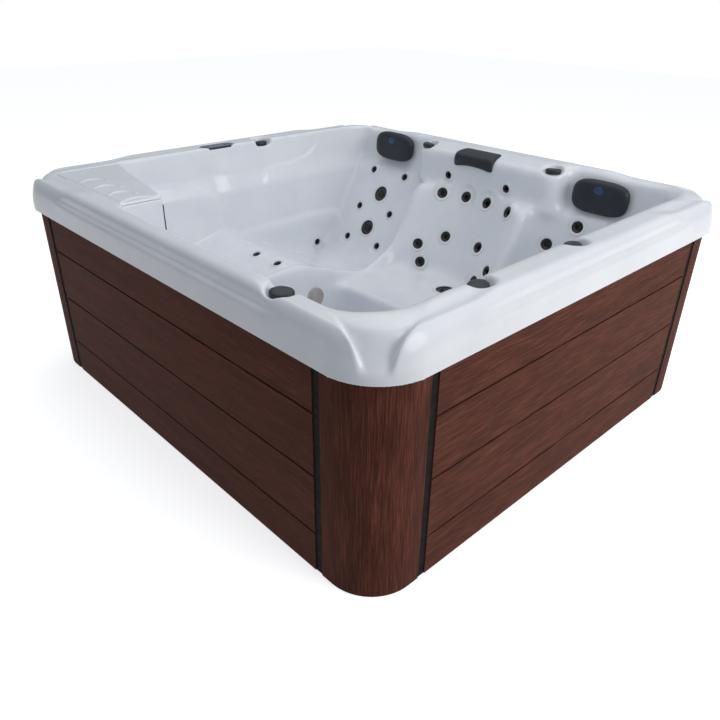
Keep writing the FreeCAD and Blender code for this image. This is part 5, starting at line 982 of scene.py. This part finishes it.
def filter_cover():
    """The lid over the filters: three crescents, and an apron that falls away at its end."""
    left, back = (edge + LID_GAP for edge in LID_CORNER)
    right = FILTER_END - LID_END_GAP
    s, t = np.meshgrid(np.linspace(0, 1, 151), np.linspace(0, 1, 76), indexing="ij")
    x = left + s * (right - left)
    front = FILTER_CORNER[1] - LID_END_GAP - (x - FILTER_CORNER[0]) * FILTER_FALL
    y = back + t * (front - back)
    top = np.full(x.shape, LID_TOP)
    for centre in CRESCENTS:
        dx, dy = x - centre, y - CRESCENT_Y
        radius = np.hypot(dx, dy)
        faced = smooth(((-0.88 * dx + 0.48 * dy) / np.maximum(radius, 1) + 0.12) / 0.3)
        ridge = np.exp(-(((radius - CRESCENT_RADIUS) / 6) ** 2))
        dish = smooth((CRESCENT_RADIUS - radius) / 16)
        top += faced * (CRESCENT_RISE * ridge - CRESCENT_DISH * dish)
    crest = -352 - 44 * np.clip(1 - ((y + 822) / 78) ** 2, 0, 1)
    top -= APRON_FALL * smooth((x - crest) / 16)
    rim = np.minimum(np.minimum(x - left, right - x), np.minimum(y - back, front - y))
    top -= LID_EDGE_FALL * (1 - smooth(rim / 9)) ** 2
    upper = np.dstack((x, y, top)).reshape(-1, 3)
    lower = np.dstack((x, y, np.full(x.shape, LID_UNDERSIDE))).reshape(-1, 3)
    index = np.arange(x.size).reshape(x.shape)
    faces = np.stack((index[:-1, :-1], index[1:, :-1], index[1:, 1:], index[:-1, 1:]), -1).reshape(-1, 4)
    loop = np.concatenate((index[:, 0], index[-1, 1:], index[-2::-1, -1], index[0, -2:0:-1]))
    sides = np.stack((loop, np.roll(loop, -1), np.roll(loop, -1) + x.size, loop + x.size), 1)[:, ::-1]
    faces = np.vstack((faces, faces[:, ::-1] + x.size, sides))
    piece("filter_cover", np.vstack((upper, lower)), faces, "acrylic", "lid", ["filter_lid"], "acrylic", 50)


def suction_dome():
    """A domed grating over the suction on the footwell's left wall, with ring ribs."""
    low, high = box_of("suction_cover")
    middle = (FOOTWELL[0], (low[1] + high[1]) / 2, (low[2] + high[2]) / 2)
    shape = [(50, -1), (50, 4), (48.5, 6)]
    for radius, height in ((46, 7.5), (38, 11), (30, 13), (22, 14.2), (14, 15)):
        shape += [(radius, height), (radius - 3, height + 1.0), (radius - 5, height - 0.6)]
    shape += [(6, 15.2), (0, 15.4)]
    points, faces = lathe(shape, [facing(middle, (1, 0, 0))], 56)
    piece("suction_dome", points, faces, "suction", "tub", ["suction_cover"], "grey_plastic")


def block(low, high):
    """A plain block between two corners."""
    points = [[(low, high)[bit][i] for i, bit in enumerate(bits)] for bits in np.ndindex(2, 2, 2)]
    faces = [(0, 1, 3, 2), (4, 6, 7, 5), (0, 4, 5, 1), (2, 3, 7, 6), (0, 2, 6, 4), (1, 5, 7, 3)]
    return np.array(points, float), faces


def spout_ribs():
    """Guide ribs in the mouth of the water spout."""
    low, high = box_of("waterfall_spout")
    half_width, spout_wall = 5, 3.9
    ribs = Gathered()
    for y in np.linspace(low[1] + 4, high[1] - 4, 8)[1:-1]:
        ribs.add(*block((low[0] + 0.5, y - half_width, low[2] + spout_wall),
                        (low[0] + 26, y + half_width, high[2] - spout_wall)))
    ribs.piece("spout_ribs", "jet_white", "tub", (), "chrome")


filter_cover()
suction_dome()
spout_ribs()


# Finish of the nodes that stay

PLANKS = {"front_planks": "plank_x", "back_planks": "plank_x", "left_planks": "plank_y",
          "right_planks": "plank_y"}
NODE_MATERIALS = {
    **PLANKS,
    "edge_strips": "strip", "base_pan": "pan", "frame_uprights": "timber", "frame_bottom_rails": "timber_x",
    "frame_top_rails": "timber_x", "footwell_supports": "timber", "panel_battens": "timber",
    "filter_cartridges": "paper", "skimmer_frame": "black_plastic", "weir_flap": "black_plastic",
    "weir_pin": "steel", "display_window": "display", "jet_bodies": "pvc", "valve_bodies": "pvc",
    "floor_drain_cover": "grey_plastic", "led_lights": "lens", "waterfall_spout": "chrome",
    "pump_motors": "motor", "pump_wet_ends": "black_plastic", "impeller_1": "grey_plastic",
    "impeller_2": "grey_plastic", "equipment_stands": "pan", "heater": "steel", "control_box": "grey_plastic",
    "control_box_cover": "grey_plastic", "water_pipes": "pvc", "drain_valve": "brass", "drain_lever": "lever",
    "cable_gland": "black_plastic", "corner_post_back_left": "post", "corner_post_back_right": "post",
    "corner_post_front_left": "post", "corner_post_front_right": "post",
}
# The panel's edges stay sharp, so that its buttons have room
SHARP_MATERIALS = {"control_panel_body": "panel", "jets_button": "button", "light_button": "button",
                   "warmer_button": "button", "cooler_button": "button"}
PLANK_EDGE, OTHER_EDGE = 0.003, 0.001


def finish_nodes():
    for name, kind in {**NODE_MATERIALS, **SHARP_MATERIALS}.items():
        node = NODES[name]
        node.data.materials.clear()
        node.data.materials.append(MATERIALS[kind])
        if name in SHARP_MATERIALS:
            continue
        edge = node.modifiers.new("soft_edges", "BEVEL")
        edge.width = PLANK_EDGE if name in PLANKS else OTHER_EDGE
        edge.segments = 2
        edge.limit_method = "ANGLE"
        edge.angle_limit = math.radians(40)


finish_nodes()


# Stage, light and camera


def seen_by(tree, first, second):
    """1 for two kinds of rays, and 0 for the rest."""
    path = tree.nodes.new("ShaderNodeLightPath")
    return calculated(tree, "MAXIMUM", path.outputs[first], path.outputs[second])


def stage():
    """A pale floor that looks near white, and throws back less light than that."""
    size = 14.0
    mesh = bpy.data.meshes.new("floor")
    corners = [(-size, -size, 0), (size, -size, 0), (size, size, 0), (-size, size, 0)]
    mesh.from_pydata(corners, [], [(0, 1, 2, 3)])
    floor = bpy.data.objects.new("floor", mesh)
    bpy.context.scene.collection.objects.link(floor)
    made, tree, shader = new_material("floor_pale")
    seen = seen_by(tree, "Is Camera Ray", "Is Glossy Ray")
    link(tree, mixed_colour(tree, seen, (0.42,) * 3, (0.97,) * 3), shader.inputs["Base Color"])
    shader.inputs["Emission Color"].default_value = (1, 1, 1, 1)
    link(tree, calculated(tree, "MULTIPLY", seen, 0.62), shader.inputs["Emission Strength"])
    shader.inputs["Roughness"].default_value = 0.9
    shader.inputs["Specular IOR Level"].default_value = 0.0
    mesh.materials.append(made)


def world():
    made = bpy.data.worlds.new("studio")
    bpy.context.scene.world = made
    made.use_nodes = True
    tree = made.node_tree
    back = tree.nodes["Background"]
    seen = seen_by(tree, "Is Camera Ray", "Is Transmission Ray")
    link(tree, mixed_colour(tree, seen, (0.35, 0.37, 0.40), (1, 1, 1)), back.inputs["Color"])
    back.inputs["Strength"].default_value = 1.0


def lamp(name, place, target, size, power, colour):
    data = bpy.data.lights.new(name, "AREA")
    data.shape = "RECTANGLE"
    data.size, data.size_y = size
    data.energy = power
    data.color = colour
    made = bpy.data.objects.new(name, data)
    made.location = place
    made.rotation_euler = (Vector(target) - Vector(place)).to_track_quat("-Z", "Y").to_euler()
    bpy.context.scene.collection.objects.link(made)


CAMERA_PLACE = (2.01478, -1.93846, 1.57938)
CAMERA_RIGHT, CAMERA_UP = (0.68727, 0.72629, 0.01287), (-0.35972, 0.32489, 0.87467)
CAMERA_BACK = (0.63108, -0.60576, 0.48455)


def camera():
    """The photograph's camera, from a fit of the tub's edges and corners."""
    data = bpy.data.cameras.new("camera")
    data.sensor_width = 36.0
    data.lens = 33.652
    made = bpy.data.objects.new("camera", data)
    turn = Matrix((CAMERA_RIGHT, CAMERA_UP, CAMERA_BACK)).transposed()
    made.matrix_world = Matrix.LocRotScale(Vector(CAMERA_PLACE), turn.to_quaternion(), None)
    bpy.context.scene.collection.objects.link(made)
    bpy.context.scene.camera = made


stage()
world()
lamp("top", (-0.3, 0.6, 4.4), (0, 0, 0.7), (5.0, 5.0), 66.0, (1, 1, 1))
lamp("right", (4.8, 0.9, 2.3), (0, 0, 0.5), (3.2, 3.2), 120.0, (1, 0.99, 0.97))
camera()
bpy.context.scene.view_settings.view_transform = "Standard"
